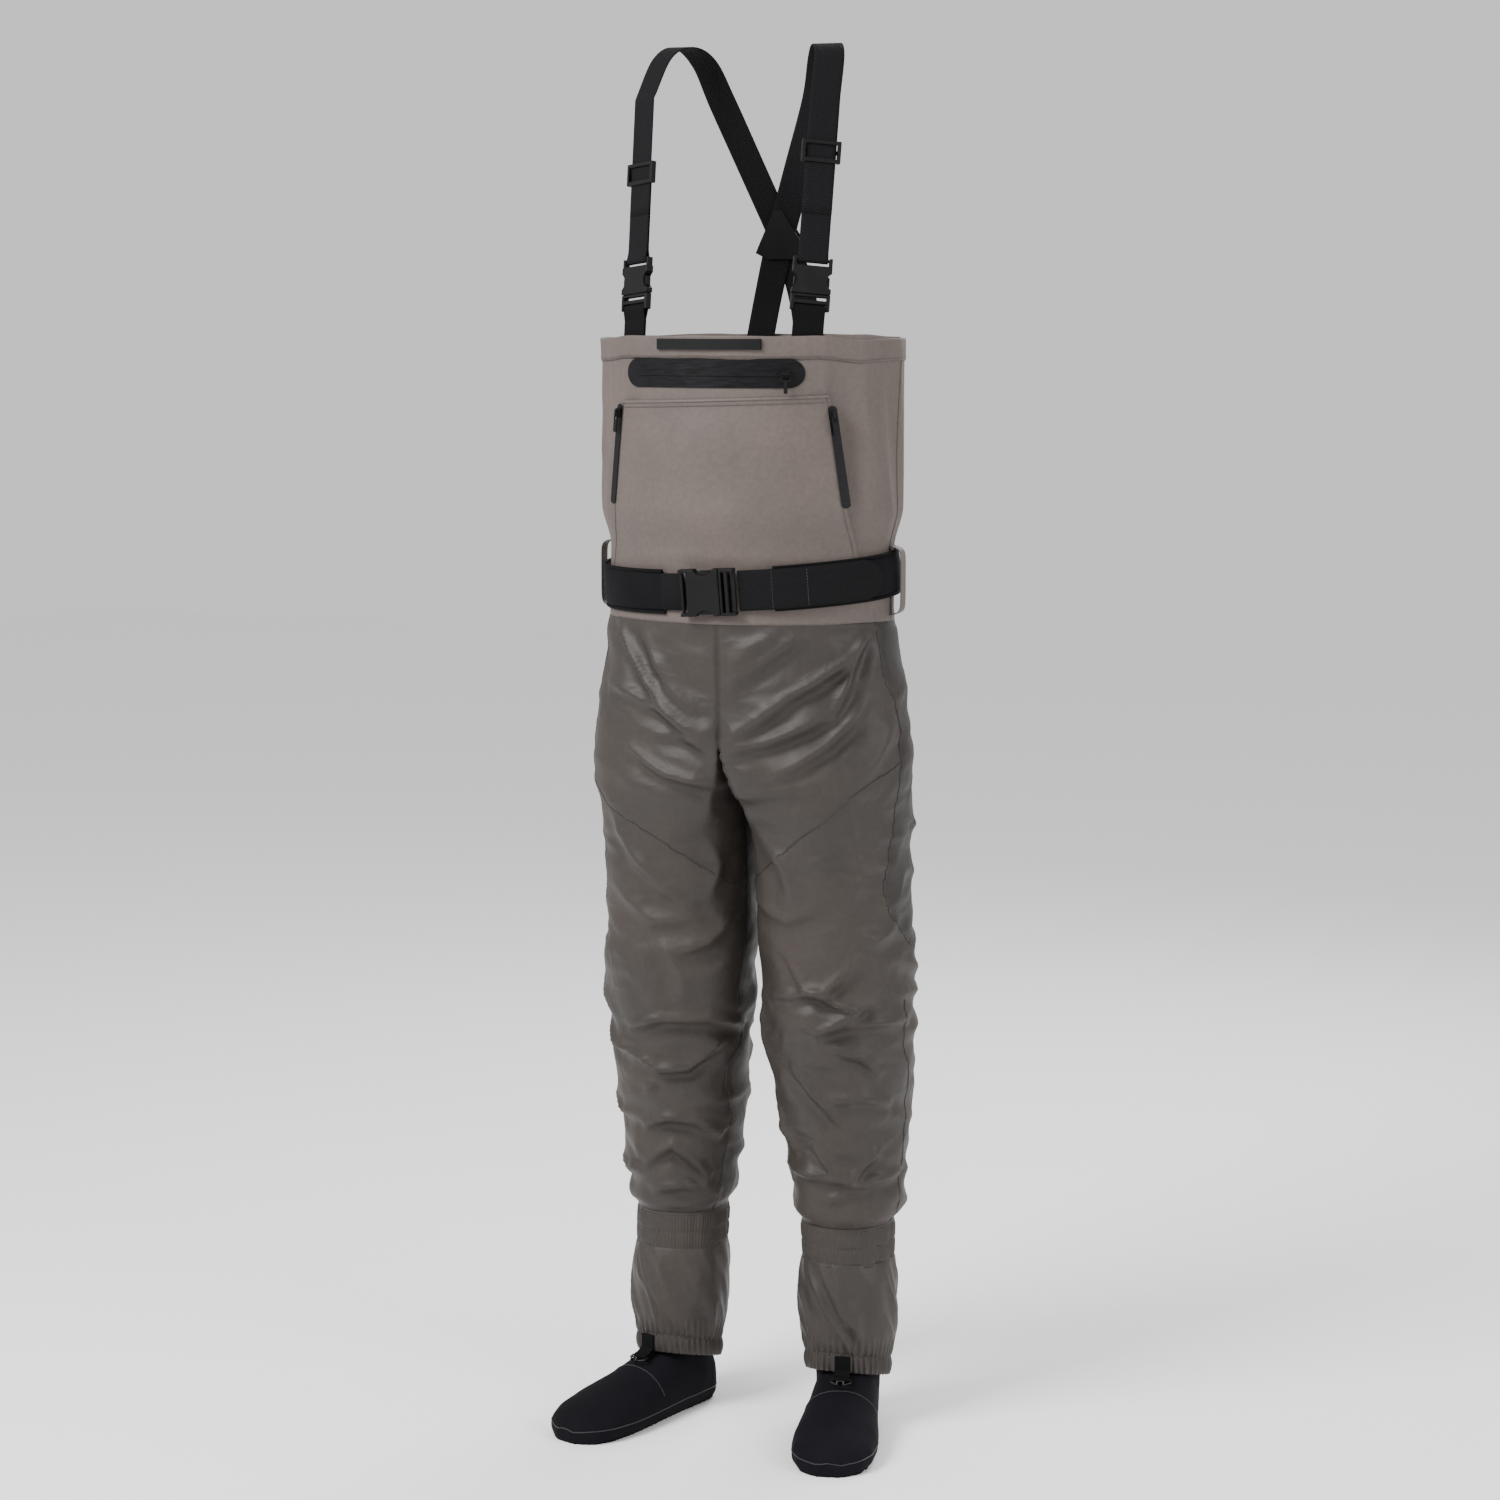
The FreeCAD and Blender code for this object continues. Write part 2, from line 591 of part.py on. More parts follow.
def ribbon(points, normals, width, thickness):
    """A band through points whose face looks along normals."""
    wires = []
    for i, (p, n) in enumerate(zip(points, normals)):
        along = (points[min(i + 1, len(points) - 1)] - points[max(i - 1, 0)]).normalize()
        across = n.cross(along).normalize() * (width / 2)
        out = along.cross(across).normalize() * (thickness / 2)
        ring = [p + across + out, p - across + out, p - across - out, p + across - out]
        wires.append(Part.makePolygon(ring + ring[:1]))
    return Part.makeLoft(wires, True, True)


def shoulder_strap(side, layer):
    """From the front run over the shoulder to the back patch and on to the back rim."""
    origin, across, inward, along = strap_frame(side)
    shift = inward * -(WEBBING_T / 2 + 0.3)
    start = origin + along * (LOOP_FRONT_UP + 0.2) + shift
    end = origin + along * STRAP_RUN + shift
    cross = V(0, layer, layer * 0.3)
    rim_y = TORSO_Y + CHEST_HALF_DEPTH - FABRIC - 9.5
    keys = [
        end,
        V(109, -17, RIM_Z + 341),
        V(94, 16, RIM_Z + 356),
        V(78, 47, RIM_Z + 338),
        V(62, 70, RIM_Z + 290),
        V(31, 93, RIM_Z + 208) + cross,
        PATCH_MIDDLE + cross,
        V(-12, 126.5, RIM_Z + 90) + cross,
        V(-24, 131.5, RIM_Z + 44) + cross * 0.7,
        V(-BACK_FOOT_X, rim_y, RIM_Z),
        V(-BACK_FOOT_X - 4, rim_y, RIM_Z - TAB_DOWN),
    ]
    out, up, back = inward * -1, V(-0.1, 0.15, 1), V(0, 0.96, 0.27)
    level = V(0, 1, 0.05)
    faces = [out, out * 0.75 + up * 0.55, up, up * 0.55 + back * 0.7, back, back, back, back, level, level, level]
    points = [start] + smooth_path(keys, 5)
    normals = [out] + smooth_path([f.normalize() for f in faces], 5)
    return ribbon(points, normals, WEBBING, WEBBING_T)


def back_patch():
    """Two moulded plates that hold the crossed straps between them."""
    lean = V(0, 0.96, 0.28).normalize()
    across = V(1, 0, 0)
    up = across.cross(lean).normalize()
    up = up if up.z > 0 else up * -1
    outline = [(-5, 34), (5, 34), (31, -14), (35, -22), (20, -30), (-20, -30), (-35, -22), (-31, -14)]
    shape = None
    for off in (-5.2, 3.4):
        points = [PATCH_MIDDLE + across * x + up * z + lean * off for x, z in outline]
        plate = Part.Face(Part.makePolygon(points + points[:1])).extrude(lean * 1.8)
        shape = plate if shape is None else shape.fuse(plate)
    return shape


# ---------------------------------------------------------------- belt
BUCKLE_STAND = 9.0  # the waist buckle's middle stands this far off the cloth
BUCKLE_FRONT_Y = TORSO_Y - WAIST_HALF_DEPTH - BELT_GAP - BUCKLE_STAND
BUCKLE_MOUTH_X = 8.0  # the buckle's mouth, the male half is on +X
BELT_CUT = 72.0  # the padded part stops this far each side of the middle
BELT_CLEAR = BELT_GAP + 2.0  # leaves room for the slope
BELT_LINK_T = 3.6
BELT_NOSE = 4.4


def tilted(shape):
    turned = shape.copy()
    turned.rotate(V(0, TORSO_Y, BELT_Z), V(1, 0, 0), BELT_TILT)
    turned.rotate(V(0, TORSO_Y, BELT_Z), V(0, 1, 0), -BELT_ROLL)
    return turned


def on_belt(shape):
    place = V(BUCKLE_MOUTH_X, BUCKLE_FRONT_Y, BELT_Z)
    return tilted(placed(shape, place, V(0, 0, 1), V(0, 1, 0), V(-1, 0, 0)))


def waist_y(x, grow):
    """Y of the waist's front face at x."""
    big = front_radius(*WAIST[:3])
    return TORSO_Y + big - WAIST_HALF_DEPTH - math.sqrt((big + grow) ** 2 - x**2)


def belt_ring(inner, outer, height):
    """A level ring round the waist."""
    faces = [Part.Face(oval(*WAIST, BELT_Z - height / 2, grow)) for grow in (outer, inner)]
    return faces[0].cut(faces[1]).extrude(V(0, 0, height))


def belt_link(bar_x, side, cloth_gap):
    """The end of the belt, from the padded part to its fold round a buckle's bar."""
    x_end = side * (BELT_CUT + (4.0 if cloth_gap == 0 else -0.5))
    y_end = waist_y(x_end, BELT_CLEAR + BELT_T / 2) - cloth_gap
    half = BELT_H / 2 - 5.0
    t = BELT_LINK_T / 2
    profile = [
        V(bar_x, BUCKLE_FRONT_Y - BELT_NOSE, 0),
        V(x_end, y_end - t, 0),
        V(x_end, y_end + t, 0),
        V(bar_x, BUCKLE_FRONT_Y + BELT_NOSE, 0),
    ]
    face = Part.Face(Part.makePolygon(profile + profile[:1]))
    link = face.extrude(V(0, 0, 2 * half))
    link.translate(V(0, 0, BELT_Z - half))
    top, bottom = V(bar_x, BUCKLE_FRONT_Y, BELT_Z + half), V(bar_x, BUCKLE_FRONT_Y, BELT_Z - half)
    return link.fuse(rod(bottom, top, BELT_NOSE))


def belt():
    """The padded band and its sewn end, folded round the female half's bar."""
    ring = belt_ring(BELT_CLEAR, BELT_CLEAR + BELT_T, BELT_H)
    ring = ring.cut(box(-BELT_CUT, -400, 0, BELT_CUT, 0, 2000))
    bar_x = BUCKLE_MOUTH_X - WAIST_BUCKLE.bar_z
    link = belt_link(bar_x, -1, 0)
    hole = rod(V(bar_x, BUCKLE_FRONT_Y, 0), V(bar_x, BUCKLE_FRONT_Y, 2000), WAIST_BUCKLE.bar_r + RUN_GAP)
    return tilted(ring.fuse(link.cut(hole)).removeSplitter())


def belt_tail():
    """The adjustable end: folded round the male half's rail and laid back along the belt."""
    base = BELT_CLEAR + BELT_T + LAYER_GAP
    height = BELT_H - 6.0
    r = height / 2
    tail = belt_ring(base, base + BELT_TAIL_T, height)
    y_round = TORSO_Y - 18.0 - r
    kept = box(BELT_CUT - 6.0, -400, 0, 400, y_round, 2000)
    tail = tail.common(kept.fuse(rod(V(0, y_round, BELT_Z), V(400, y_round, BELT_Z), r)))
    rail_x = BUCKLE_MOUTH_X + MALE_RAIL
    link = belt_link(rail_x, 1, BELT_T / 2 + LAYER_GAP + BELT_TAIL_T / 2)
    g = RUN_GAP
    rail = (rail_x - RAIL_W / 2 - g, BUCKLE_FRONT_Y - RAIL_T - g, 0,
            rail_x + RAIL_W / 2 + g, BUCKLE_FRONT_Y + RAIL_T + g, 2000)  # fmt: skip
    return tilted(tail.fuse(link.cut(box(*rail))).removeSplitter())


LOOP_W, LOOP_H, LOOP_T = 20.0, BELT_H + 30.0, 1.4


def belt_loop_left():
    """A fabric loop on the side seam that the belt runs through."""
    out = WAIST_HALF_WIDTH + BELT_CLEAR + BELT_T + BELT_TAIL_T + 3.0
    y0 = TORSO_Y - LOOP_W / 2
    low, high = BELT_Z - LOOP_H / 2, BELT_Z + LOOP_H / 2
    outer = box(150, y0, low, out + LOOP_T, y0 + LOOP_W, high)
    inner = box(140, y0 - 1, low + LOOP_T, out, y0 + LOOP_W + 1, high - LOOP_T)
    return outer.cut(inner).cut(torso(LAYER_GAP))


# ---------------------------------------------------------------- trousers
def seat_panels():
    """The left and right seat panels and the level gusset between the legs."""
    top, bottom = SEAM_Z - LAYER_GAP, HIP_Z + LAYER_GAP
    outer = Part.makeLoft([oval(*WAIST, top), oval(*SEAT, bottom)], True, True)
    inner = Part.makeLoft([oval(*WAIST, top, -FABRIC), oval(*SEAT, bottom, -FABRIC)], True, True)
    left = outer.cut(inner).common(box(LAYER_GAP / 2, -400, 0, 400, 400, 2000))
    plate = Part.Face(oval(*SEAT, bottom, -FABRIC - LAYER_GAP)).extrude(V(0, 0, FABRIC))
    gap = 2 * (LEG[0][1] - LEG[0][3])
    gusset = plate.common(box(-GUSSET_W / 2 - gap, -400, 0, GUSSET_W / 2 + gap, 400, 2000))
    opening = leg_solid(HIP_Z, HIP_FOLD_Z, -FABRIC - LAYER_GAP).translated(V(0, 0, GUSSET_LIFT))
    gusset = gusset.cut(opening).cut(mirrored(opening))
    return [left, mirrored(left), gusset]


GUSSET_W, GUSSET_LIFT = 60.0, 20.0


def leg_section(top, bottom, wall=FABRIC):
    return leg_tube(top - LAYER_GAP, bottom, wall=wall)


def ankle_slab(low, high):
    """Everything between two heights at the ankle, sloped as the hem is."""
    slab = box(-400, -300, HEM_Z + low, 400, 300, HEM_Z + high)
    slab.rotate(V(0, 0, HEM_Z), V(1, 0, 0), -HEM_SLOPE)
    slab.translate(V(0, ANKLE_Y, 0))
    return slab


def gravel_guard():
    tube = leg_tube(BAND_BOTTOM_Z - LAYER_GAP, 42.0, wall=1.2)
    return tube.common(ankle_slab(HEM_H / 2 + LAYER_GAP, 400))


def guard_hem():
    tube = leg_tube(150.0, 41.0, outer=HEM_T, wall=HEM_T + 0.8)
    return tube.common(ankle_slab(-HEM_H / 2, HEM_H / 2))


# ---------------------------------------------------------------- sock feet
# (forward, half width, top height) of the sock, heel to toe, in the foot's own frame
SOCK = [
    (-FOOT_BACK, 13.0, 54.0),
    (-FOOT_BACK + 6, 24.0, 74.0),
    (-FOOT_BACK + 20, 33.0, 92.0),
    (0.0, 38.0, 100.0),
    (30.0, 40.0, 92.0),
    (60.0, 43.0, 76.0),
    (98.0, 48.0, 63.0),
    (140.0, 52.0, 53.0),
    (178.0, 49.0, 44.0),
    (200.0, 39.0, 37.0),
    (FOOT_FRONT - 6, 25.0, 30.0),
    (FOOT_FRONT, 12.0, 24.0),
]
SOCK_LOW = SOLE_T + LAYER_GAP
SOCK_POINTS = 20


def sock_form(shrink):
    """The foot part of the sock as a solid, smaller by shrink all round."""
    wires = []
    inside = [row for row in SOCK if -FOOT_BACK + shrink * 1.6 <= row[0] <= FOOT_FRONT - shrink * 1.6]
    for forward, half, top in inside:
        w = half - shrink
        low, high = SOCK_LOW + shrink, top - shrink
        middle, tall = (low + high) / 2, (high - low) / 2
        ring = []
        for k in range(SOCK_POINTS):
            t = 2 * math.pi * k / SOCK_POINTS
            c, s = math.cos(t), math.sin(t)
            power = 2.2 if s > 0 else 4.5
            across = w * math.copysign(abs(c) ** (2 / power), c)
            up = middle + tall * math.copysign(abs(s) ** (2 / power), s)
            ring.append(V(across, -forward, up))
        curve = Part.BSplineCurve()
        curve.interpolate(ring, PeriodicFlag=True)
        wires.append(Part.Wire([curve.toShape()]))
    return Part.makeLoft(wires, True, True)


SLEEVE_HALF_W, SLEEVE_HALF_D, SLEEVE_FLARE = 41.0, 46.0, 3.0
SLEEVE_ROOT_Z = 60.0


def ankle_solid(low, high, shrink):
    """The neoprene round the ankle and lower calf, in the foot's own frame."""
    w, d, f = SLEEVE_HALF_W - shrink, SLEEVE_HALF_D - shrink, SLEEVE_FLARE
    lower = squarish(w, d, 2.0, 0, 0, low)
    upper = squarish(w + f, d + f, 2.0, 0, 0, high)
    return Part.makeLoft([lower, upper], True, True)


def on_foot(shape, side):
    turned = shape.copy()
    turned.rotate(V(0, 0, 0), V(0, 0, 1), FOOT_SPLAY[side])
    turned.translate(V(ANKLE_X, ANKLE_Y, 0))
    return turned


def sock(side):
    outer = sock_form(0).fuse(ankle_solid(SLEEVE_ROOT_Z, SOCK_TOP_Z, 0))
    inner = sock_form(NEOPRENE).fuse(ankle_solid(SLEEVE_ROOT_Z, SOCK_TOP_Z + 1, NEOPRENE))
    return on_foot(outer.cut(inner), side)


def sole(side):
    """The flat sole that the sock's upper is bonded to, a little inside its outline."""
    left = [V(half - 3.0, -forward + (4.0 if forward > 0 else -4.0), 0) for forward, half, _ in SOCK[1:-1]]
    ring = left + [V(-p.x, p.y, 0) for p in left[::-1]]
    curve = Part.BSplineCurve()
    curve.interpolate(ring, PeriodicFlag=True)
    return on_foot(Part.Face(Part.Wire([curve.toShape()])).extrude(V(0, 0, SOLE_T)), side)


def ankle_sleeve(side):
    low, high = SOCK_TOP_Z + LAYER_GAP, BAND_BOTTOM_Z - 6.0
    tube = ankle_solid(low, high, 0).cut(ankle_solid(low, high, NEOPRENE))
    return on_foot(tube, side)


TAB_W, TAB_T = 20.0, 1.2
HOOK_WIRE = 1.1
HOOK_FORWARD, HOOK_UP = 76.0, 79.0  # the hook's bar, forward of the ankle and above the floor
HOOK_SLOPE = 15.0  # the hook lies along the instep
HEM_FRONT = 59.5  # front of the hem, forward of the ankle
HEM_FRONT_Z = HEM_Z + HEM_FRONT * math.tan(math.radians(HEM_SLOPE))


def hook_tab(side):
    """A webbing tab from the front of the hem, folded round the lace hook's bar."""
    r = HOOK_WIRE + RUN_GAP + TAB_T / 2
    lay = TAB_T / 2 + 0.15
    y = -HEM_FRONT - 1.6
    slope = math.radians(HOOK_SLOPE)
    uy, uz = math.cos(slope), math.sin(slope)  # up along the instep is +Y and +Z
    ny, nz = -uz, uy  # away from the instep
    by, bz = -HOOK_FORWARD, HOOK_UP
    top, bend = HEM_FRONT_Z + 9.0, HEM_FRONT_Z - 8.0
    above = [(y - 2 * lay, top), (y - 2 * lay, bend), (by + 6 * uy + ny * r, bz + 6 * uz + nz * r)]
    below = [(by + 6 * uy - ny * r, bz + 6 * uz - nz * r), (y, bend - 4.0), (y, top)]
    turn = arc_points(by, bz, r, 90 + HOOK_SLOPE, 270 + HOOK_SLOPE, 8)
    return on_foot(strip(above + turn + below, TAB_T, TAB_W), side)


def lace_hook(side):
    """A bent wire: a bar through the tab, two legs and a hook that takes the boot lace."""
    half = TAB_W / 2 + 2.5
    slope = math.radians(HOOK_SLOPE)

    def p(x, forward, off):
        y = -HOOK_FORWARD - forward * math.cos(slope) - off * math.sin(slope)
        return V(x, y, HOOK_UP - forward * math.sin(slope) + off * math.cos(slope))

    route = [p(-half, 0, 0), p(-half, 6, 0), p(-4, 12, 0), p(-4, 14.5, 2.2), p(-4, 11, 5)]
    route += [V(-q.x, q.y, q.z) for q in route[::-1]]
    route.append(route[0])
    pieces = []
    for a, b in zip(route, route[1:]):
        pieces += [rod(a, b, HOOK_WIRE), Part.makeSphere(HOOK_WIRE, a)]
    return on_foot(pieces[0].multiFuse(pieces[1:]), side)


# ---------------------------------------------------------------- assembly
SIDES = ("left", "right")


def pair(name, maker):
    """Two nodes, the right one mirrored."""
    return {f"{name}_{side}": maker(side) if side == "left" else mirrored(maker(side)) for side in SIDES}


def both(maker):
    """Two solids of one node, the second mirrored."""
    return Part.makeCompound([maker("left"), mirrored(maker("right"))])


def nodes():
    over = WEBBING_T / 2 + 0.5  # the left strap lies on the outside where they cross
    made = {
        "bib_front_panel": bib_half(True),
        "bib_back_panel": bib_half(False),
        "top_hem": top_hem(),
        "chest_zip_patch": chest_zip_patch(),
        "chest_zip_chain": chest_zip_chain(),
        "chest_zip_slider": chest_slider(),
        "chest_zip_pull": chest_pull(),
        "chest_pocket_bag": chest_pocket_bag(),
        "handwarmer_pouch": handwarmer_pouch(),
        "pouch_zips": both(lambda side: pouch_zip_left()),
        "docking_strip": docking_strip(),
        "front_tabs": both(front_tab),
        "shoulder_buckle_males": both(lambda side: on_strap(buckle_male(SHOULDER), BUCKLE_UP, side)),
        "strap_loops": both(strap_loop),
        "shoulder_straps": both(lambda side: shoulder_strap(side, -over if side == "left" else over)),
        "back_patch": back_patch(),
        "belt": belt(),
        "belt_tail": belt_tail(),
        "belt_loops": both(lambda side: belt_loop_left()),
        "belt_buckle_female": on_belt(buckle_female(WAIST_BUCKLE)),
        "belt_buckle_male": on_belt(buckle_male(WAIST_BUCKLE)),
        "belt_buckle_arm_upper": on_belt(buckle_arm(WAIST_BUCKLE)),
        "belt_buckle_arm_lower": on_belt(mirrored(buckle_arm(WAIST_BUCKLE))),
        "seat_panels": Part.makeCompound(seat_panels()),
    }
    makers = {
        "shoulder_buckle_female": lambda side: on_strap(buckle_female(SHOULDER), BUCKLE_UP, side),
        "shoulder_arm_outer": lambda side: on_strap(buckle_arm(SHOULDER), BUCKLE_UP, side),
        "shoulder_arm_inner": lambda side: on_strap(mirrored(buckle_arm(SHOULDER)), BUCKLE_UP, side),
        "triglide": lambda side: on_strap(triglide(), TRIGLIDE_UP[side], side),
        "pouch_slider": lambda side: placed(slider_shape(), *zip_frame()),
        "pouch_pull": lambda side: placed(pull_shape(), *zip_frame()),
        "hip": lambda side: leg_section(HIP_Z, HIP_FOLD_Z),
        "thigh": lambda side: leg_section(HIP_FOLD_Z, KNEE_TOP_Z),
        "knee": lambda side: leg_section(KNEE_TOP_Z, KNEE_BOTTOM_Z),
        "shin": lambda side: leg_section(KNEE_BOTTOM_Z, BAND_TOP_Z),
        "calf_band": lambda side: leg_section(BAND_TOP_Z, BAND_BOTTOM_Z),
        "gravel_guard": lambda side: gravel_guard(),
        "guard_hem": lambda side: guard_hem(),
        "ankle_sleeve": ankle_sleeve,
        "sock": sock,
        "sole": sole,
        "hook_tab": hook_tab,
        "lace_hook": lace_hook,
    }
    for name, maker in makers.items():
        made.update(pair(name, maker))
    return made


def depth_middle(shapes):
    """Half way between the foremost and rearmost points, which the frame puts at Y = 0."""
    boxes = [shape.optimalBoundingBox(False) for shape in shapes]
    return (min(b.YMin for b in boxes) + max(b.YMax for b in boxes)) / 2


def width_middle(shapes):
    boxes = [shape.optimalBoundingBox(False) for shape in shapes]
    return (min(b.XMin for b in boxes) + max(b.XMax for b in boxes)) / 2


def main():
    os.makedirs("parts", exist_ok=True)
    made = nodes()
    side, back = width_middle(made.values()), depth_middle(made.values())
    print("frame moved by", round(-side, 3), "along X,", round(-back, 3), "along Y;", len(made), "nodes")
    for name, shape in made.items():
        shape.translate(V(-side, -back, 0))
        solids = shape.Solids
        if not solids or not shape.isValid() or min(s.Volume for s in solids) <= 0:
            raise ValueError(f"{name} is not a sound solid")
        shape.exportStep(f"parts/{name}.step")


main()
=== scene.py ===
"""Chest waders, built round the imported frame: cloth shells, webbing, padding, neoprene feet and trim."""

import json
import math

import bmesh
import bpy
import numpy as np
from bpy.props import FloatProperty, FloatVectorProperty, IntProperty, PointerProperty
from mathutils import Matrix, Vector, noise
from mathutils.bvhtree import BVHTree

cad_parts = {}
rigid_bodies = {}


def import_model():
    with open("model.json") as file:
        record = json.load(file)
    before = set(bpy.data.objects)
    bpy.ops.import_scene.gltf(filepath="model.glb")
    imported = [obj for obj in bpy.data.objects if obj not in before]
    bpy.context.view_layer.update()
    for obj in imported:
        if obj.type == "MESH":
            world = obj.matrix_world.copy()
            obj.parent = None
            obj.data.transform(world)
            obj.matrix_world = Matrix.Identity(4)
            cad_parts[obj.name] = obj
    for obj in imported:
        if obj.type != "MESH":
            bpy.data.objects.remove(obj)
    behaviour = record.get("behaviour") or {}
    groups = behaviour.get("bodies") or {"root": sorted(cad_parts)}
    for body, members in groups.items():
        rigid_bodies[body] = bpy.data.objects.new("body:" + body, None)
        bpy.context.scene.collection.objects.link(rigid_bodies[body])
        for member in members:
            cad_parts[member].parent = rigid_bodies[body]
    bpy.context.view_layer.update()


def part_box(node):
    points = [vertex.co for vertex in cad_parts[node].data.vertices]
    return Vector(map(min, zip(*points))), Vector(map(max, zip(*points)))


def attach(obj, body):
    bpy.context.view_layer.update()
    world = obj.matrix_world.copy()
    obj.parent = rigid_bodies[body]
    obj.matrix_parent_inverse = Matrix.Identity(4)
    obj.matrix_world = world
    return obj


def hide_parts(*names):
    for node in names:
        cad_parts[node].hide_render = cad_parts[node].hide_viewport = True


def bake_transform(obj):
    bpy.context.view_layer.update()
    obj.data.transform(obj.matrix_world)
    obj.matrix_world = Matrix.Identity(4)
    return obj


for _leftover in list(bpy.data.objects):
    bpy.data.objects.remove(_leftover)
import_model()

bl_info = {
    "name": "Chest waders",
    "version": (1, 0, 0),
    "blender": (4, 5, 0),
    "location": "View3D > Sidebar > Waders",
    "description": "Builds the cloth, webbing, padding and neoprene of a pair of chest waders",
    "category": "Object",
}

SIDES = (("left", 1.0), ("right", -1.0))

# ------------------------------------------------------------------ places, all in metres
FRONT_LOW, FRONT_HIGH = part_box("bib_front_panel")
TORSO_Y, SEAT_Y = 0.005, 0.012  # middle of chest and seat in the garment's own frame
SHIFT = Vector((
    (FRONT_LOW.x + FRONT_HIGH.x) / 2,
    (FRONT_LOW.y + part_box("bib_back_panel")[1].y) / 2 - TORSO_Y,
    0,
))
SEAM_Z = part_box("seat_panels")[1].z
RIM_Z = FRONT_HIGH.z
BELT_Z = 1.101
BAND_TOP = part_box("calf_band_left")[1].z
BAND_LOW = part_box("calf_band_left")[0].z
BELT_TILT, BELT_ROLL = math.radians(4.0), math.radians(3.0)
WAIST = (0.184, 0.125, 0.088, TORSO_Y)  # half width, half depth, side radius, middle
CHEST = (0.195, 0.135, 0.095, TORSO_Y)
SEAT = (0.208, 0.128, 0.096, SEAT_Y)
TAPER = (1.138, 1.192)  # between these heights the waist opens out to the chest
CROTCH_Z = 0.905
THIGH_CUT = 0.700  # the upper and lower leg pieces meet here
# height, middle x, middle y, half width, half depth, squareness of the left leg
LEG = np.array([
    (0.040, 0.117, 0.050, 0.052, 0.057, 2.0),
    (0.100, 0.117, 0.050, 0.053, 0.058, 2.0),
    (0.150, 0.116, 0.052, 0.055, 0.059, 2.0),
    (0.221, 0.115, 0.056, 0.057, 0.061, 2.0),
    (0.269, 0.114, 0.058, 0.058, 0.063, 2.0),
    (0.325, 0.113, 0.058, 0.071, 0.077, 2.0),
    (0.400, 0.112, 0.054, 0.079, 0.085, 2.0),
    (0.480, 0.111, 0.045, 0.088, 0.092, 2.0),
    (0.555, 0.108, 0.035, 0.095, 0.097, 2.0),
    (0.690, 0.102, 0.028, 0.095, 0.101, 2.1),
    (0.790, 0.101, 0.022, 0.097, 0.106, 2.2),
    (0.890, 0.1035, 0.013, 0.0995, 0.119, 2.5),
])
ANKLE = Vector((0.117, 0.050, 0.0))
SPLAY = {"left": math.radians(12.0), "right": math.radians(21.0)}
HEM_Z, HEM_SLOPE, HEM_HALF = 0.080, math.radians(15.0), 0.012

# Folds: crest points as (angle round the leg, height), height of crest, width.
# Angle 0 is the outer side, -90 the front, -180 the inner side, 90 the back.
FOLDS_LEFT = [
    ([(-131, 0.962), (-112, 1.005), (-90, 1.046)], 5.0, 9.0),
    ([(-128, 0.905), (-100, 0.962), (-62, 1.005), (-38, 1.040)], 8.0, 10.0),
    ([(-150, 0.880), (-112, 0.905), (-75, 0.940)], 8.0, 10.0),
    ([(-104, 0.866), (-74, 0.905), (-44, 0.952)], 7.0, 10.0),
    ([(-70, 0.938), (-57, 0.985), (-43, 1.043)], 6.0, 9.0),
    ([(-128, 0.985), (-118, 1.020), (-104, 1.046)], 3.5, 9.0),
    ([(-150, 0.850), (-120, 0.838), (-88, 0.850)], 5.0, 11.0),
    ([(-60, 0.850), (-40, 0.880), (-20, 0.930)], 4.0, 14.0),
    ([(-125, 0.790), (-105, 0.745), (-98, 0.700)], 4.0, 14.0),
    ([(-55, 0.800), (-52, 0.740), (-66, 0.680)], 4.0, 15.0),
    ([(-140, 0.700), (-105, 0.680), (-76, 0.702)], 5.0, 12.0),
    ([(-108, 0.625), (-95, 0.592), (-81, 0.590), (-58, 0.630)], 7.0, 9.0),
    ([(-60, 0.668), (-40, 0.655), (-16, 0.672)], 5.0, 11.0),
    ([(-128, 0.577), (-88, 0.587), (-58, 0.565), (-88, 0.536)], 9.0, 9.0),
    ([(-90, 0.538), (-50, 0.550), (-12, 0.545)], 7.0, 10.0),
    ([(-88, 0.524), (-56, 0.503), (-42, 0.484)], 7.0, 9.0),
    ([(-114, 0.486), (-92, 0.446), (-70, 0.405)], 7.0, 10.0),
    ([(-85, 0.445), (-60, 0.452), (-32, 0.440)], 6.0, 9.0),
    ([(-99, 0.378), (-84, 0.352), (-69, 0.341), (-45, 0.374)], 8.0, 9.0),
    ([(-132, 0.347), (-100, 0.345), (-69, 0.334), (-12, 0.342)], 9.0, 10.0),
    ([(-90, 0.311), (-74, 0.322), (-58, 0.327)], 5.0, 8.0),
    ([(-150, 0.440), (-140, 0.400), (-128, 0.372)], 6.0, 11.0),
    ([(-150, 0.560), (-160, 0.520), (-148, 0.480)], 6.0, 12.0),
]
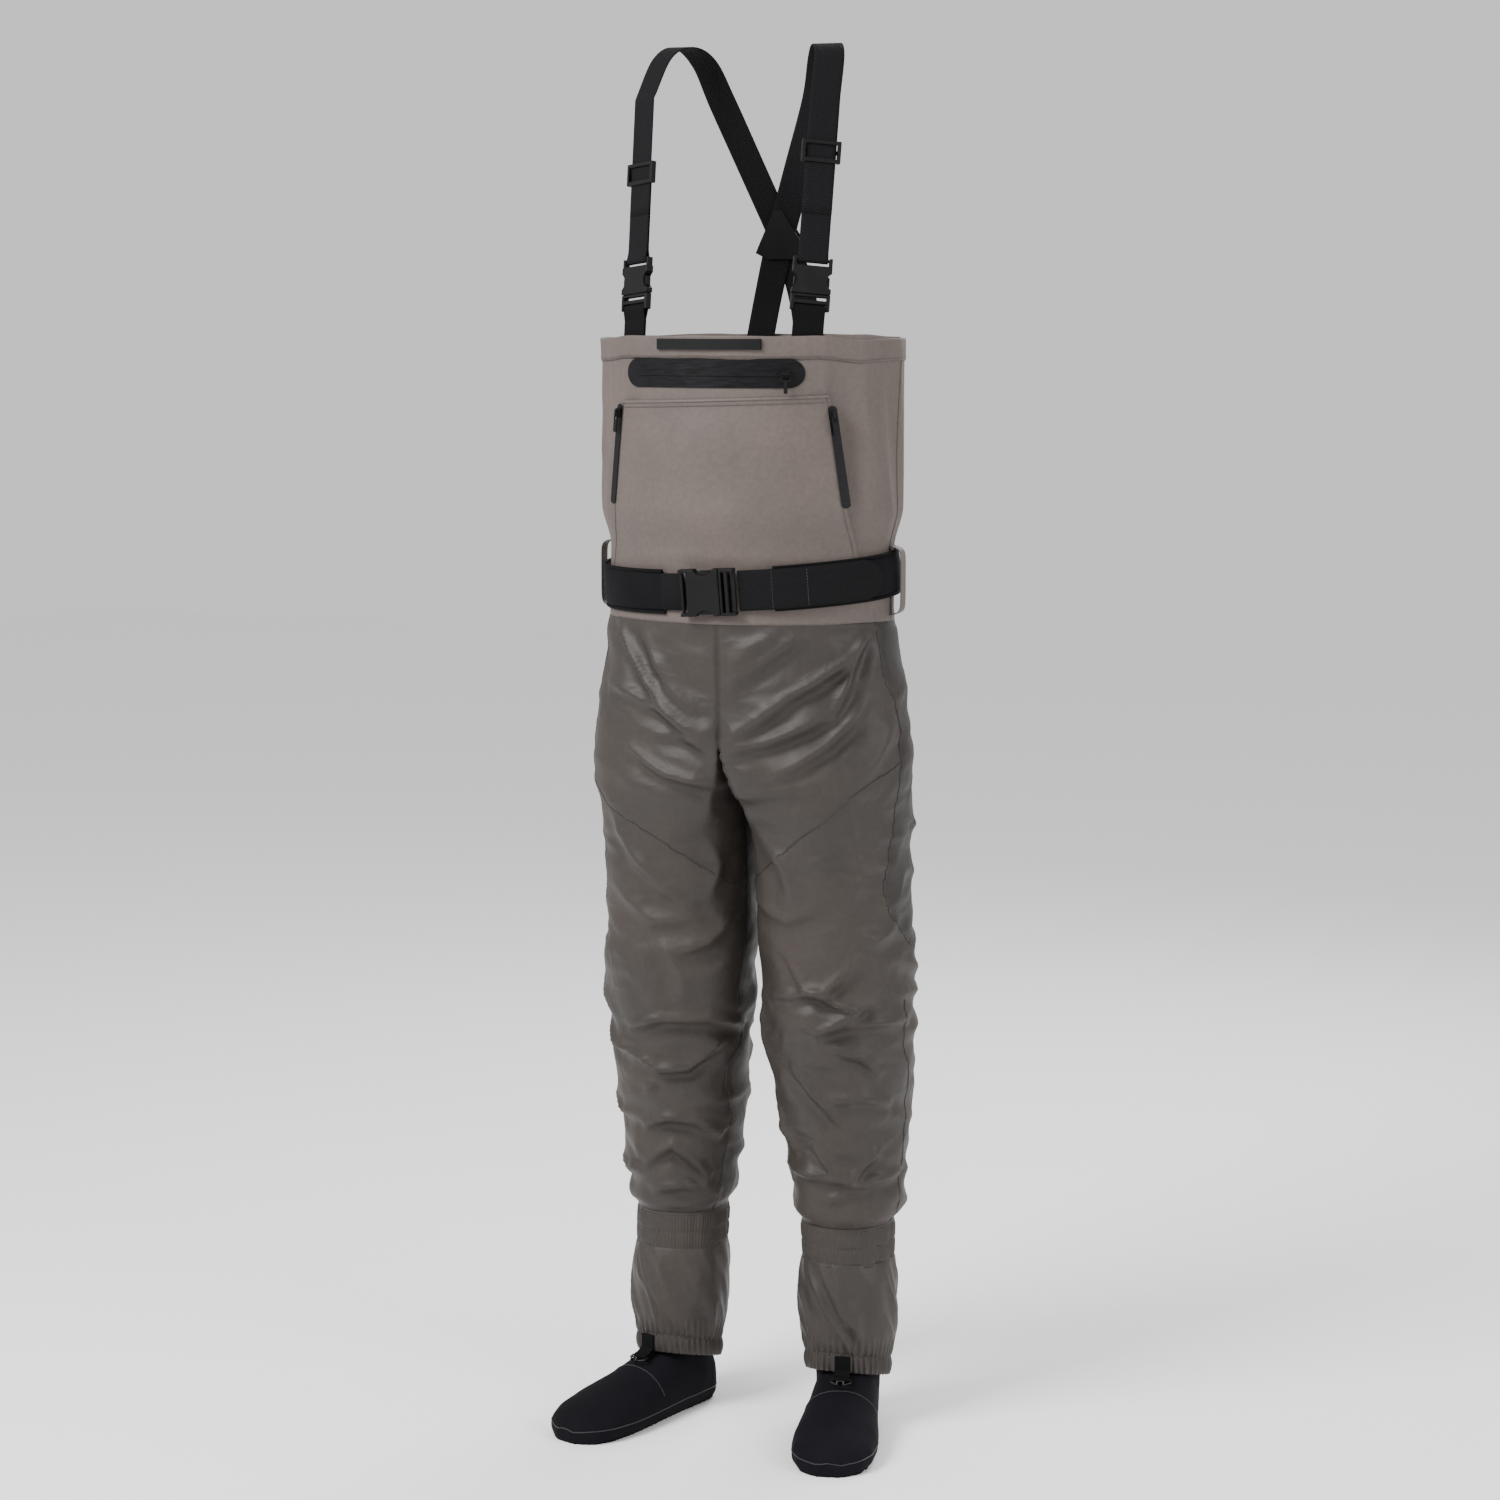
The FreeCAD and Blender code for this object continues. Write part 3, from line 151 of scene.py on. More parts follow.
FOLDS_RIGHT = [
    ([(-56, 1.050), (-82, 1.002), (-104, 0.950), (-126, 0.902)], 8.0, 10.0),
    ([(-90, 1.036), (-103, 0.990), (-118, 0.944)], 6.0, 9.0),
    ([(-54, 0.968), (-80, 0.958), (-104, 0.940), (-124, 0.900)], 7.0, 10.0),
    ([(-78, 0.890), (-104, 0.862), (-128, 0.850), (-172, 0.847)], 9.0, 10.0),
    ([(-130, 0.948), (-126, 0.915), (-134, 0.892)], 4.0, 7.0),
    ([(-100, 0.912), (-118, 0.905), (-140, 0.872)], 5.0, 8.0),
    ([(-60, 0.800), (-72, 0.760), (-92, 0.720), (-113, 0.690)], 6.0, 13.0),
    ([(-128, 0.772), (-138, 0.740), (-130, 0.705)], 5.0, 12.0),
    ([(-60, 0.700), (-90, 0.668), (-120, 0.672)], 5.0, 13.0),
    ([(-150, 0.668), (-128, 0.640), (-104, 0.628)], 6.0, 12.0),
    ([(-96, 0.640), (-110, 0.600), (-112, 0.570)], 5.0, 12.0),
    ([(-70, 0.526), (-96, 0.541), (-130, 0.541), (-168, 0.524)], 10.0, 10.0),
    ([(-68, 0.490), (-92, 0.470), (-116, 0.472), (-141, 0.500)], 9.0, 9.0),
    ([(-78, 0.442), (-88, 0.452), (-100, 0.449)], 5.0, 8.0),
    ([(-74, 0.393), (-98, 0.404), (-120, 0.400), (-147, 0.379)], 9.0, 9.0),
    ([(-74, 0.343), (-100, 0.366), (-118, 0.345), (-138, 0.320)], 8.0, 9.0),
    ([(-80, 0.306), (-110, 0.312), (-150, 0.298)], 6.0, 9.0),
    ([(-30, 0.520), (-48, 0.495), (-66, 0.492)], 7.0, 11.0),
    ([(-20, 0.420), (-40, 0.400), (-66, 0.404)], 6.0, 10.0),
    ([(-20, 0.335), (-44, 0.322), (-70, 0.334)], 6.0, 10.0),
]


# Seams, as (angle round the leg, height).
PANEL_EDGE = [
    (-27, 1.051), (-27, 0.985), (-13, 0.945), (-14, 0.880), (-21, 0.805), (-27, 0.760),
    (-31, 0.720), (-27, 0.690), (-14, 0.665), (6, 0.635), (40, 0.620),
]  # fmt: skip
SEAMS = {
    "left": [
        PANEL_EDGE,
        [(-14, 0.876), (-19, 0.872), (-52, 0.845), (-79, 0.804), (-96, 0.780), (-113, 0.754), (-150, 0.712)],
        [(-165, 0.860), (-166, 0.712), (-160, 0.560), (-168, 0.480), (-164, 0.380), (-165, 0.272)],
        [(-12, 0.571), (-14, 0.518), (-4, 0.459), (-8, 0.380), (-10, 0.272)],
    ],
    "right": [
        PANEL_EDGE,
        [(-18, 0.852), (-60, 0.808), (-81, 0.790), (-109, 0.757), (-131, 0.731), (-148, 0.711)],
        [(-165, 0.860), (-168, 0.764), (-170, 0.672), (-157, 0.554), (-172, 0.509), (-153, 0.463), (-160, 0.380),
         (-150, 0.272)],
        [(-12, 0.600), (-14, 0.518), (-4, 0.459), (-8, 0.380), (-10, 0.272)],
    ],
}  # fmt: skip


class WadersSizes(bpy.types.PropertyGroup):
    """Sizes and colours that a user would change."""

    cloth: FloatProperty(name="Cloth", description="Thickness of the laminate", default=0.0009, unit="LENGTH")
    fold_scale: FloatProperty(name="Folds", description="Depth of the folds, 1 as worn", default=1.0)
    webbing: FloatProperty(name="Webbing", description="Width of the straps", default=0.038, unit="LENGTH")
    webbing_thick: FloatProperty(
        name="Webbing thickness", description="Thickness of the straps", default=0.0017, unit="LENGTH"
    )
    belt_height: FloatProperty(name="Belt", description="Height of the belt", default=0.056, unit="LENGTH")
    stitch: FloatProperty(name="Stitch", description="Length of one stitch", default=0.0028, unit="LENGTH")
    gathers: IntProperty(name="Gathers", description="Gathers round an elastic hem", default=44)
    bib_colour: FloatVectorProperty(
        name="Bib", description="Colour of the bib cloth", subtype="COLOR", default=(0.100, 0.081, 0.073)
    )
    leg_colour: FloatVectorProperty(
        name="Legs", description="Colour of the leg cloth", subtype="COLOR", default=(0.031, 0.0265, 0.0240)
    )
    black: FloatVectorProperty(
        name="Black", description="Colour of webbing and trim", subtype="COLOR", default=(0.0042, 0.0042, 0.0048)
    )
    seed: IntProperty(name="Seed", description="Seed of the small folds at the back", default=11)


def sizes():
    return bpy.context.scene.waders


# ------------------------------------------------------------------ mesh helpers
def new_object(name, verts, faces, material, uv=None, smooth=True):
    """A mesh object at the origin, moved from the garment's own frame into the row frame."""
    mesh = bpy.data.meshes.new(name)
    mesh.from_pydata([tuple(Vector(v) + SHIFT) for v in verts], [], faces)
    mesh.materials.append(material)
    if uv is not None:
        layer = mesh.uv_layers.new(name="cloth")
        for loop in mesh.loops:
            layer.data[loop.index].uv = uv[loop.vertex_index]
    mesh.polygons.foreach_set("use_smooth", [smooth] * len(mesh.polygons))
    obj = bpy.data.objects.new(name, mesh)
    bpy.context.scene.collection.objects.link(obj)
    return obj


def settled(obj):
    """Turns an object's modifiers into plain mesh."""
    graph = bpy.context.evaluated_depsgraph_get()
    mesh = bpy.data.meshes.new_from_object(obj.evaluated_get(graph))
    obj.modifiers.clear()
    old = obj.data
    if obj.type == "MESH":
        obj.data = mesh
        bpy.data.meshes.remove(old)
        return obj
    name = obj.name
    bpy.data.objects.remove(obj)
    fresh = bpy.data.objects.new(name, mesh)
    bpy.context.scene.collection.objects.link(fresh)
    return fresh


def thickened(obj, thickness, offset=-1.0):
    wall = obj.modifiers.new("wall", "SOLIDIFY")
    wall.thickness, wall.offset, wall.use_even_offset = thickness, offset, False
    return settled(obj)


def subdivided(obj, levels=1):
    sub = obj.modifiers.new("smooth", "SUBSURF")
    sub.levels = sub.render_levels = levels
    return settled(obj)


def grid_faces(rows, columns, closed=True, start=0):
    """Faces of a grid whose rows run round and whose columns run down."""
    last = columns if closed else columns - 1
    return [
        (start + i * columns + k, start + (i + 1) * columns + k,
         start + (i + 1) * columns + (k + 1) % columns, start + i * columns + (k + 1) % columns)
        for i in range(rows - 1)
        for k in range(last)
    ]  # fmt: skip


def smoothstep(x):
    x = np.clip(x, 0.0, 1.0)
    return x * x * (3 - 2 * x)


def joined(name, objects):
    """One object from several of one material."""
    bpy.ops.object.select_all(action="DESELECT")
    for obj in objects:
        obj.select_set(True)
    bpy.context.view_layer.objects.active = objects[0]
    bpy.ops.object.join()
    objects[0].name = objects[0].data.name = name
    return objects[0]


def outward(obj):
    """Merges doubles and turns the faces outwards."""
    shape = bmesh.new()
    shape.from_mesh(obj.data)
    bmesh.ops.remove_doubles(shape, verts=shape.verts, dist=0.00002)
    bmesh.ops.recalc_face_normals(shape, faces=shape.faces)
    shape.to_mesh(obj.data)
    shape.free()
    return obj


# ------------------------------------------------------------------ forms of the body
def oval_radius(form, angle):
    """Distance from an oval's middle to its edge; the oval is four tangent arcs."""
    half_w, half_d, side_r = form[:3]
    side = half_w - side_r
    big = (side**2 + half_d**2 - side_r**2) / (2 * (half_d - side_r))
    drop = big - half_d
    reach = math.hypot(side, drop)
    turn = math.atan2(drop * big / reach - drop, side * big / reach)
    a = np.abs(np.arctan2(np.sin(angle), np.abs(np.cos(angle))))
    on_side = side * np.cos(a) + np.sqrt(np.maximum(side_r**2 - (side * np.sin(a)) ** 2, 0))
    on_front = -drop * np.sin(a) + np.sqrt(big**2 - (drop * np.cos(a)) ** 2)
    return np.where(a < turn, on_side, on_front)


def mix_forms(a, b, t):
    return tuple(x + (y - x) * t for x, y in zip(a, b))


def torso_form(z):
    return mix_forms(WAIST, CHEST, float(smoothstep((z - TAPER[0]) / (TAPER[1] - TAPER[0]))))


def torso_point(angle, z, grow=0.0):
    form = torso_form(z)
    r = float(oval_radius(form, angle)) + grow
    return Vector((r * math.cos(angle), form[3] + r * math.sin(angle), z))


def front_point(x, z, grow=0.0):
    """The point on the bib's front at x and z, and its outward direction."""
    form = torso_form(z)
    half_w, half_d, side_r = form[:3]
    side = half_w - side_r
    big = (side**2 + half_d**2 - side_r**2) / (2 * (half_d - side_r))
    centre = Vector((0, form[3] + big - half_d, z))
    joint_x = side * big / math.hypot(side, big - half_d)
    if abs(x) > joint_x:
        centre, big = Vector((math.copysign(side, x), form[3], z)), side_r
    reach = x - centre.x
    out = Vector((reach, -math.sqrt(max(big**2 - reach**2, 1e-9)), 0)).normalized()
    return centre + out * (big + grow), out


def leg_form(z):
    return [float(np.interp(z, LEG[:, 0], LEG[:, k])) for k in range(1, 6)]


def leg_point(angle, z, side=1.0, grow=0.0):
    x, y, a, b, power = leg_form(z)
    c, s = math.cos(angle), math.sin(angle)
    r = (abs(c / a) ** power + abs(s / b) ** power) ** (-1 / power) + grow
    return Vector((side * (x + r * c), y + r * s, z))


def tilted(point):
    """The belt's slope: lower in front and higher on the wearer's left."""
    pivot = Vector((0, TORSO_Y, BELT_Z))
    turn = Matrix.Rotation(-BELT_ROLL, 3, "Y") @ Matrix.Rotation(BELT_TILT, 3, "X")
    return turn @ (Vector(point) - pivot) + pivot


def on_foot(point, side_name):
    """From the foot's own frame (across, back, up) to the garment's."""
    side = 1.0 if side_name == "left" else -1.0
    turned = Matrix.Rotation(SPLAY[side_name], 3, "Z") @ Vector(point)
    place = turned + ANKLE
    return Vector((side * place.x, place.y, place.z))


# ------------------------------------------------------------------ folds
def crumple(points, scale, stretch, seed):
    """Ridged noise at points; stretch flattens its lumps so that the folds run level."""
    out = np.zeros(len(points))
    for i, (x, y, z) in enumerate(points):
        p = Vector((x * scale + seed, y * scale - seed, z * scale * stretch))
        warp = noise.noise_vector(p * 0.7) * 0.6
        out[i] = 1.0 - 2.0 * abs(noise.noise(p + warp))
    return out


def swell(points, scale, stretch, seed):
    return np.array([noise.noise(Vector((x * scale + seed, y * scale, z * scale * stretch))) for x, y, z in points])


def fold_field(angles, heights, radius, folds):
    """Height of the cloth over its form, from fold crests: a sharp crest and a hollow below it."""
    total = np.zeros(len(heights))
    for crest, height, width in folds:
        best = np.full(len(heights), 9.0)
        signed, share = np.zeros(len(heights)), np.zeros(len(heights))
        for n, ((a0, z0), (a1, z1)) in enumerate(zip(crest, crest[1:])):
            turn = (angles - math.radians(a0) + math.pi) % (2 * math.pi) - math.pi
            px, pz = turn * radius, heights - z0
            dx, dz = math.radians(a1 - a0) * radius, z1 - z0
            length = np.hypot(dx, dz)
            t = np.clip((px * dx + pz * dz) / length**2, 0, 1)
            ex, ez = px - dx * t, pz - dz * t
            gap = np.hypot(ex, ez)
            near = gap < best
            best = np.where(near, gap, best)
            signed = np.where(near, np.where(ez >= 0, gap, -gap), signed)
            share = np.where(near, (n + t) / (len(crest) - 1), share)
        w = width / 1000
        fade = np.maximum(np.sin(np.pi * np.clip(0.06 + 0.88 * share, 0, 1)), 0) ** 0.6
        crest_part = 1.0 / (1.0 + (best / (0.85 * w)) ** 2) ** 2
        hollow = np.exp(-(((signed + 1.5 * w) / w) ** 2))
        total += height / 1000 * fade * (1.25 * crest_part - 0.80 * hollow)
    return total


def back_folds(seed):
    """Level, broken folds for the back and outer side of a leg."""
    draw = np.random.default_rng(seed)
    folds = []
    for z in np.linspace(0.300, 0.640, 13):
        middle, half = draw.uniform(20, 150), draw.uniform(28, 52)
        rise = draw.uniform(-0.016, 0.016)
        crest = [(middle - half, z + rise), (middle, z + draw.uniform(-0.012, 0.012)), (middle + half, z - rise)]
        folds.append((crest, draw.uniform(2.5, 5.0), draw.uniform(11.0, 14.0)))
    for z in (0.70, 0.76, 0.83):
        middle = draw.uniform(60, 110)
        folds.append(([(middle - 50, z + 0.03), (middle + 45, z - 0.01)], draw.uniform(3.5, 6.0), 14.0))
    for rise, height in ((0.05, 7.0), (0.10, 6.0), (0.15, 4.0)):
        folds.append(([(128, 0.885 + rise * 0.2), (96, 0.875 + rise), (60, 0.880 + rise * 1.2)], height, 12.0))
    return folds


# ------------------------------------------------------------------ trousers
OUTER_STEPS, INNER_STEPS = 132, 56
RING = OUTER_STEPS + INNER_STEPS


def half_seat_radius(form, cx, cy, angles):
    """From a leg's middle to the half oval of the seat, whose inner side is the plane x = 0."""
    low, high = np.zeros_like(angles), np.full_like(angles, 0.5)
    for _ in range(26):
        mid = (low + high) / 2
        x, y = cx + mid * np.cos(angles), cy + mid * np.sin(angles) - form[3]
        inside = (np.hypot(x, y) < oval_radius(form, np.arctan2(y, x))) & (x > 0)
        low, high = np.where(inside, mid, low), np.where(inside, high, mid)
    return low


def trouser_ring(z):
    """One ring of the left half: points, and the angle of each round the leg."""
    form = mix_forms(WAIST, SEAT, float(np.clip((SEAM_Z - z) / (SEAM_Z - 0.890), 0, 1)))
    cx, leg_y, a, b, power = leg_form(min(z, 0.890))
    cy = leg_y + (form[3] - leg_y) * float(smoothstep((z - 0.89) / 0.05))
    front = math.atan2(form[3] - form[1] - cy, -cx)
    back = math.atan2(form[3] + form[1] - cy, -cx)
    if z < CROTCH_Z:
        k = float(smoothstep((CROTCH_Z - z) / 0.10))
        front += (math.radians(-150) - front) * k
        back += (math.radians(150) - back) * k
    angles = np.concatenate([
        np.linspace(front, back, OUTER_STEPS, endpoint=False),
        np.linspace(back, front + 2 * math.pi, INNER_STEPS, endpoint=False),
    ])
    c, s = np.cos(angles), np.sin(angles)
    radius = (np.abs(c / a) ** power + np.abs(s / b) ** power) ** (-1 / power)
    if z > 0.76:
        k = float(smoothstep((z - 0.76) / (CROTCH_Z - 0.76)))
        radius += (half_seat_radius(form, cx, cy, angles) - radius) * k
    return np.stack([cx + radius * c, cy + radius * s, np.full_like(c, z)], 1), angles


def trouser_rows():
    upper = np.linspace(SEAM_Z, CROTCH_Z, 31)
    lower = np.linspace(CROTCH_Z, BAND_TOP, 128)[1:]
    return np.concatenate([upper, lower])


def trouser_half(side, folds, seed):
    """Folded points of one half, row by row, with the angle of each."""
    heights = trouser_rows()
    rings = [trouser_ring(z) for z in heights]
    points = np.array([ring for ring, _ in rings])
    angles = np.array([angle for _, angle in rings])
    down = np.gradient(points, axis=0)
    round_it = np.roll(points, -1, axis=1) - np.roll(points, 1, axis=1)
    normal = np.cross(down, round_it)
    normal[..., 2] *= 0.35
    normal /= np.maximum(np.linalg.norm(normal, axis=2, keepdims=True), 1e-9)
    outward_way = points - points.mean(axis=1, keepdims=True)
    flip = np.sign((normal * outward_way).sum(axis=2, keepdims=True))
    normal *= np.where(flip == 0, 1, flip)
    flat = points.reshape(-1, 3)
    z = flat[:, 2]
    field = fold_field(angles.ravel(), z, 0.092, folds + back_folds(seed))
    low = smoothstep((0.66 - z) / 0.10)
    loose = 0.62 + 0.38 * low
    field += 0.0056 * loose * (crumple(flat, 7.0, 2.3, seed) - 0.35)
    field += 0.0021 * (crumple(flat, 19.0, 1.6, seed + 5) - 0.3)
    field += 0.0050 * swell(flat, 5.0, 1.5, seed + 9)
    bag = smoothstep((0.335 - z) / 0.05) * smoothstep((z - 0.272) / 0.016)
    field += 0.006 * bag * (0.6 + swell(flat, 14.0, 0.4, seed + 2))
    hold = smoothstep((SEAM_Z - z) / 0.022) * smoothstep((z - BAND_TOP) / 0.014)
    centre = np.where(z > CROTCH_Z - 0.012, smoothstep(np.abs(flat[:, 0]) / 0.022), 1.0)
    inner = np.where(z <= CROTCH_Z, 1.0 - 0.75 * smoothstep((0.030 - flat[:, 0]) / 0.02) * smoothstep((z - 0.55) / 0.2), 1.0)
    field *= hold * centre * inner * sizes().fold_scale
    moved = flat + normal.reshape(-1, 3) * field[:, None]
    moved[:, 0] = np.where(flat[:, 0] > 0.0005, np.maximum(moved[:, 0], 0.0012), moved[:, 0])
    moved = moved.reshape(points.shape)
    moved[..., 0] *= side
    return moved, angles, heights


def panel_share(angles, heights):
    """1 on the darker outer panel and 0 elsewhere, from its front and back edges."""
    z = np.array([e[1] for e in PANEL_EDGE])[::-1]
    front = np.radians(np.array([e[0] for e in PANEL_EDGE])[::-1])
    turn = (angles + math.pi) % (2 * math.pi) - math.pi
    edge = np.interp(heights, z, front)[:, None]
    back = np.interp(heights, z, 0.9 - 0.8 * (front + 0.2))[:, None]
    inside = smoothstep((turn - edge) / 0.02 + 0.5) * smoothstep((back - turn) / 0.02 + 0.5)
    return inside * (heights > PANEL_EDGE[-1][1])[:, None]


def cut_piece(name, points, heights, top, low, side, material, shade, tuck=0.00025):
    """Rows between two heights as one cloth piece, with a hidden tuck row where it meets its neighbour."""
    first = int(np.argmin(np.abs(heights - top)))
    last = int(np.argmin(np.abs(heights - low)))
    rows = list(points[first : last + 1])
    tones = list(shade[first : last + 1])
    levels = list(heights[first : last + 1])
    for at, near in ((len(rows), last + 1), (0, first - 1)):
        if 0 <= near < len(heights):
            ring = points[near]
            middle = ring.mean(axis=0)
            away = ring - middle
            away[:, 2] = 0
            away /= np.linalg.norm(away, axis=1, keepdims=True)
            rows.insert(at, ring - away * tuck)
            tones.insert(at, shade[near])
            levels.insert(at, heights[near])
    count = len(rows)
    verts = np.array(rows).reshape(-1, 3)
    faces = []
    for i in range(count - 1):
        for k in range(RING):
            if levels[i + 1] >= CROTCH_Z - 1e-6 and k >= OUTER_STEPS:
                continue
            a, b = i * RING + k, i * RING + (k + 1) % RING
            face = (a, b, b + RING, a + RING)
            faces.append(face if side < 0 else face[::-1])
    uv = [(math.atan2(v[1] - 0.03, side * v[0] - 0.105) * 0.095, v[2]) for v in verts]
    obj = new_object(name, verts, faces, material, uv)
    tone = obj.data.attributes.new("side_panel", "FLOAT", "POINT")
    tone.data.foreach_set("value", np.array(tones, dtype=np.float32).ravel())
    shape = bmesh.new()
    shape.from_mesh(obj.data)
    bmesh.ops.delete(shape, geom=[v for v in shape.verts if not v.link_faces], context="VERTS")
    shape.to_mesh(obj.data)
    shape.free()
    return obj


def surface_tree(objects):
    """A search tree over objects' faces, in the garment's own frame."""
    verts, faces = [], []
    for obj in objects:
        start = len(verts)
        verts += [v.co - SHIFT for v in obj.data.vertices]
        faces += [[start + i for i in f.vertices] for f in obj.data.polygons]
    return BVHTree.FromPolygons(verts, faces)


def on_surface(tree, points, lift=0.0):
    """Points moved to the nearest cloth, and lifted off it."""
    placed = []
    for p in points:
        spot, normal, _, _ = tree.find_nearest(Vector(p))
        placed.append(spot + normal * lift)
    return placed


def dense(points, step=0.004):
    """Straight runs divided into short steps."""
    out = []
    for a, b in zip(points, points[1:]):
        a, b = Vector(a), Vector(b)
        count = max(1, int((b - a).length / step))
        out += [a.lerp(b, k / count) for k in range(count)]
    return out + [Vector(points[-1])]


def curved(points, steps=6):
    """A smooth line through points."""
    points = [Vector(p) for p in points]
    padded = [points[0] * 2 - points[1]] + points + [points[-1] * 2 - points[-2]]
    out = []
    for a, b, c, d in zip(padded, padded[1:], padded[2:], padded[3:]):
        for k in range(steps):
            t = k / steps
            out.append(
                (b * 2 + (c - a) * t + (a * 2 - b * 5 + c * 4 - d) * t**2
                 + (b * 3 - a - c * 3 + d) * t**3) * 0.5
            )  # fmt: skip
    return out + [points[-1]]


def rod_mesh(name, paths, radius, material, sides=6, flat=1.0):
    """Round or flattened rods along paths; an open path gets end caps."""
    verts, faces = [], []
    for path in paths:
        path = [Vector(p) for p in path]
        closed = (path[0] - path[-1]).length < 1e-6
        if closed:
            path = path[:-1]
        start, count = len(verts), len(path)
        up = Vector((0, 0, 1))
        for i, p in enumerate(path):
            after = path[(i + 1) % count] if closed or i + 1 < count else p
            before = path[i - 1] if closed or i else p
            along = (after - before).normalized()
            if abs(along.dot(up)) > 0.95:
                up = Vector((0, 1, 0)) if abs(along.y) < 0.9 else Vector((1, 0, 0))
            across = along.cross(up).normalized()
            up = across.cross(along).normalized()
            for k in range(sides):
                t = 2 * math.pi * k / sides
                verts.append(p + across * (math.cos(t) * radius * flat) + up * (math.sin(t) * radius))
        rows = count if closed else count - 1
        for i in range(rows):
            for k in range(sides):
                a, b = start + i * sides + k, start + i * sides + (k + 1) % sides
                c, d = start + ((i + 1) % count) * sides + (k + 1) % sides, start + ((i + 1) % count) * sides + k
                faces.append((a, b, c, d))
        if not closed:
            faces.append(tuple(start + k for k in range(sides))[::-1])
            faces.append(tuple(start + (count - 1) * sides + k for k in range(sides)))
    return outward(new_object(name, verts, faces, material))


def ribbon(name, points, normals, width, thickness, material, cup=0.0):
    """A woven band through points whose face looks along normals, with rounded edges and a UV map."""
    half_w, half_t = width / 2, thickness / 2
    profile = []
    for k in range(9):
        share = -1 + k / 4
        profile.append((share * (half_w - half_t), half_t))
    profile.append((half_w, 0.0))
    for k in range(9):
        share = 1 - k / 4
        profile.append((share * (half_w - half_t), -half_t))
    profile.append((-half_w, 0.0))
    verts, uv, run = [], [], 0.0
    count = len(points)
    for i, (p, n) in enumerate(zip(points, normals)):
        after, before = points[min(i + 1, count - 1)], points[max(i - 1, 0)]
        run += (Vector(p) - Vector(before)).length
        along = (Vector(after) - Vector(before)).normalized()
        across = Vector(n).cross(along).normalized()
        out = along.cross(across).normalized()
        for x, t in profile:
            lift = t - cup * (x / half_w) ** 2
            verts.append(Vector(p) + across * x + out * lift)
            uv.append((x, run))
    sides = len(profile)
    faces = grid_faces(count, sides)
    faces.append(tuple(range(sides)))
    faces.append(tuple((count - 1) * sides + k for k in reversed(range(sides))))
    return outward(new_object(name, verts, faces, material, uv))


# ------------------------------------------------------------------ materials
def shader(name, **sockets):
    material = bpy.data.materials.new(name)
    material.use_nodes = True
    tree = material.node_tree
    bsdf = tree.nodes["Principled BSDF"]
    for socket, value in sockets.items():
        bsdf.inputs[socket.replace("_", " ")].default_value = value
    return material, tree, bsdf


def node(tree, kind, **inputs):
    made = tree.nodes.new(kind)
    for socket, value in inputs.items():
        made.inputs[socket.replace("_", " ")].default_value = value
    return made


def math_node(tree, operation, a, b):
    made = tree.nodes.new("ShaderNodeMath")
    made.operation = operation
    for index, value in ((0, a), (1, b)):
        if isinstance(value, (int, float)):
            made.inputs[index].default_value = value
        else:
            tree.links.new(value, made.inputs[index])
    return made.outputs[0]


def ramp(tree, source, low, high, start=0.0, end=1.0):
    """Colours or greys between two values of source."""
    made = tree.nodes.new("ShaderNodeValToRGB")
    made.color_ramp.elements[0].position, made.color_ramp.elements[1].position = start, end
    made.color_ramp.elements[0].color = (*low, 1) if isinstance(low, (tuple, list)) else (low, low, low, 1)
    made.color_ramp.elements[1].color = (*high, 1) if isinstance(high, (tuple, list)) else (high, high, high, 1)
    tree.links.new(source, made.inputs["Fac"])
    return made.outputs["Color"]


def shaded(colour, share):
    return tuple(min(1.0, c * share) for c in colour)


def weave(tree, coordinate, pitch):
    """Height of a plain weave from two crossed waves."""
    heights = []
    for axis in ("X", "Y"):
        wave = node(tree, "ShaderNodeTexWave", Scale=1.0 / pitch / 6.2832 * 6.2832 / 2, Distortion=0.15)
        wave.bands_direction = axis
        tree.links.new(coordinate, wave.inputs["Vector"])
        heights.append(wave.outputs["Fac"])
    return math_node(tree, "MULTIPLY", heights[0], heights[1])


def bump(tree, bsdf, layers):
    """Adds bump nodes in a chain: (height, strength, distance)."""
    last = None
    for height, strength, distance in layers:
        made = node(tree, "ShaderNodeBump", Strength=strength, Distance=distance)
        tree.links.new(height, made.inputs["Height"])
        if last is not None:
            tree.links.new(last, made.inputs["Normal"])
        last = made.outputs["Normal"]
    tree.links.new(last, bsdf.inputs["Normal"])


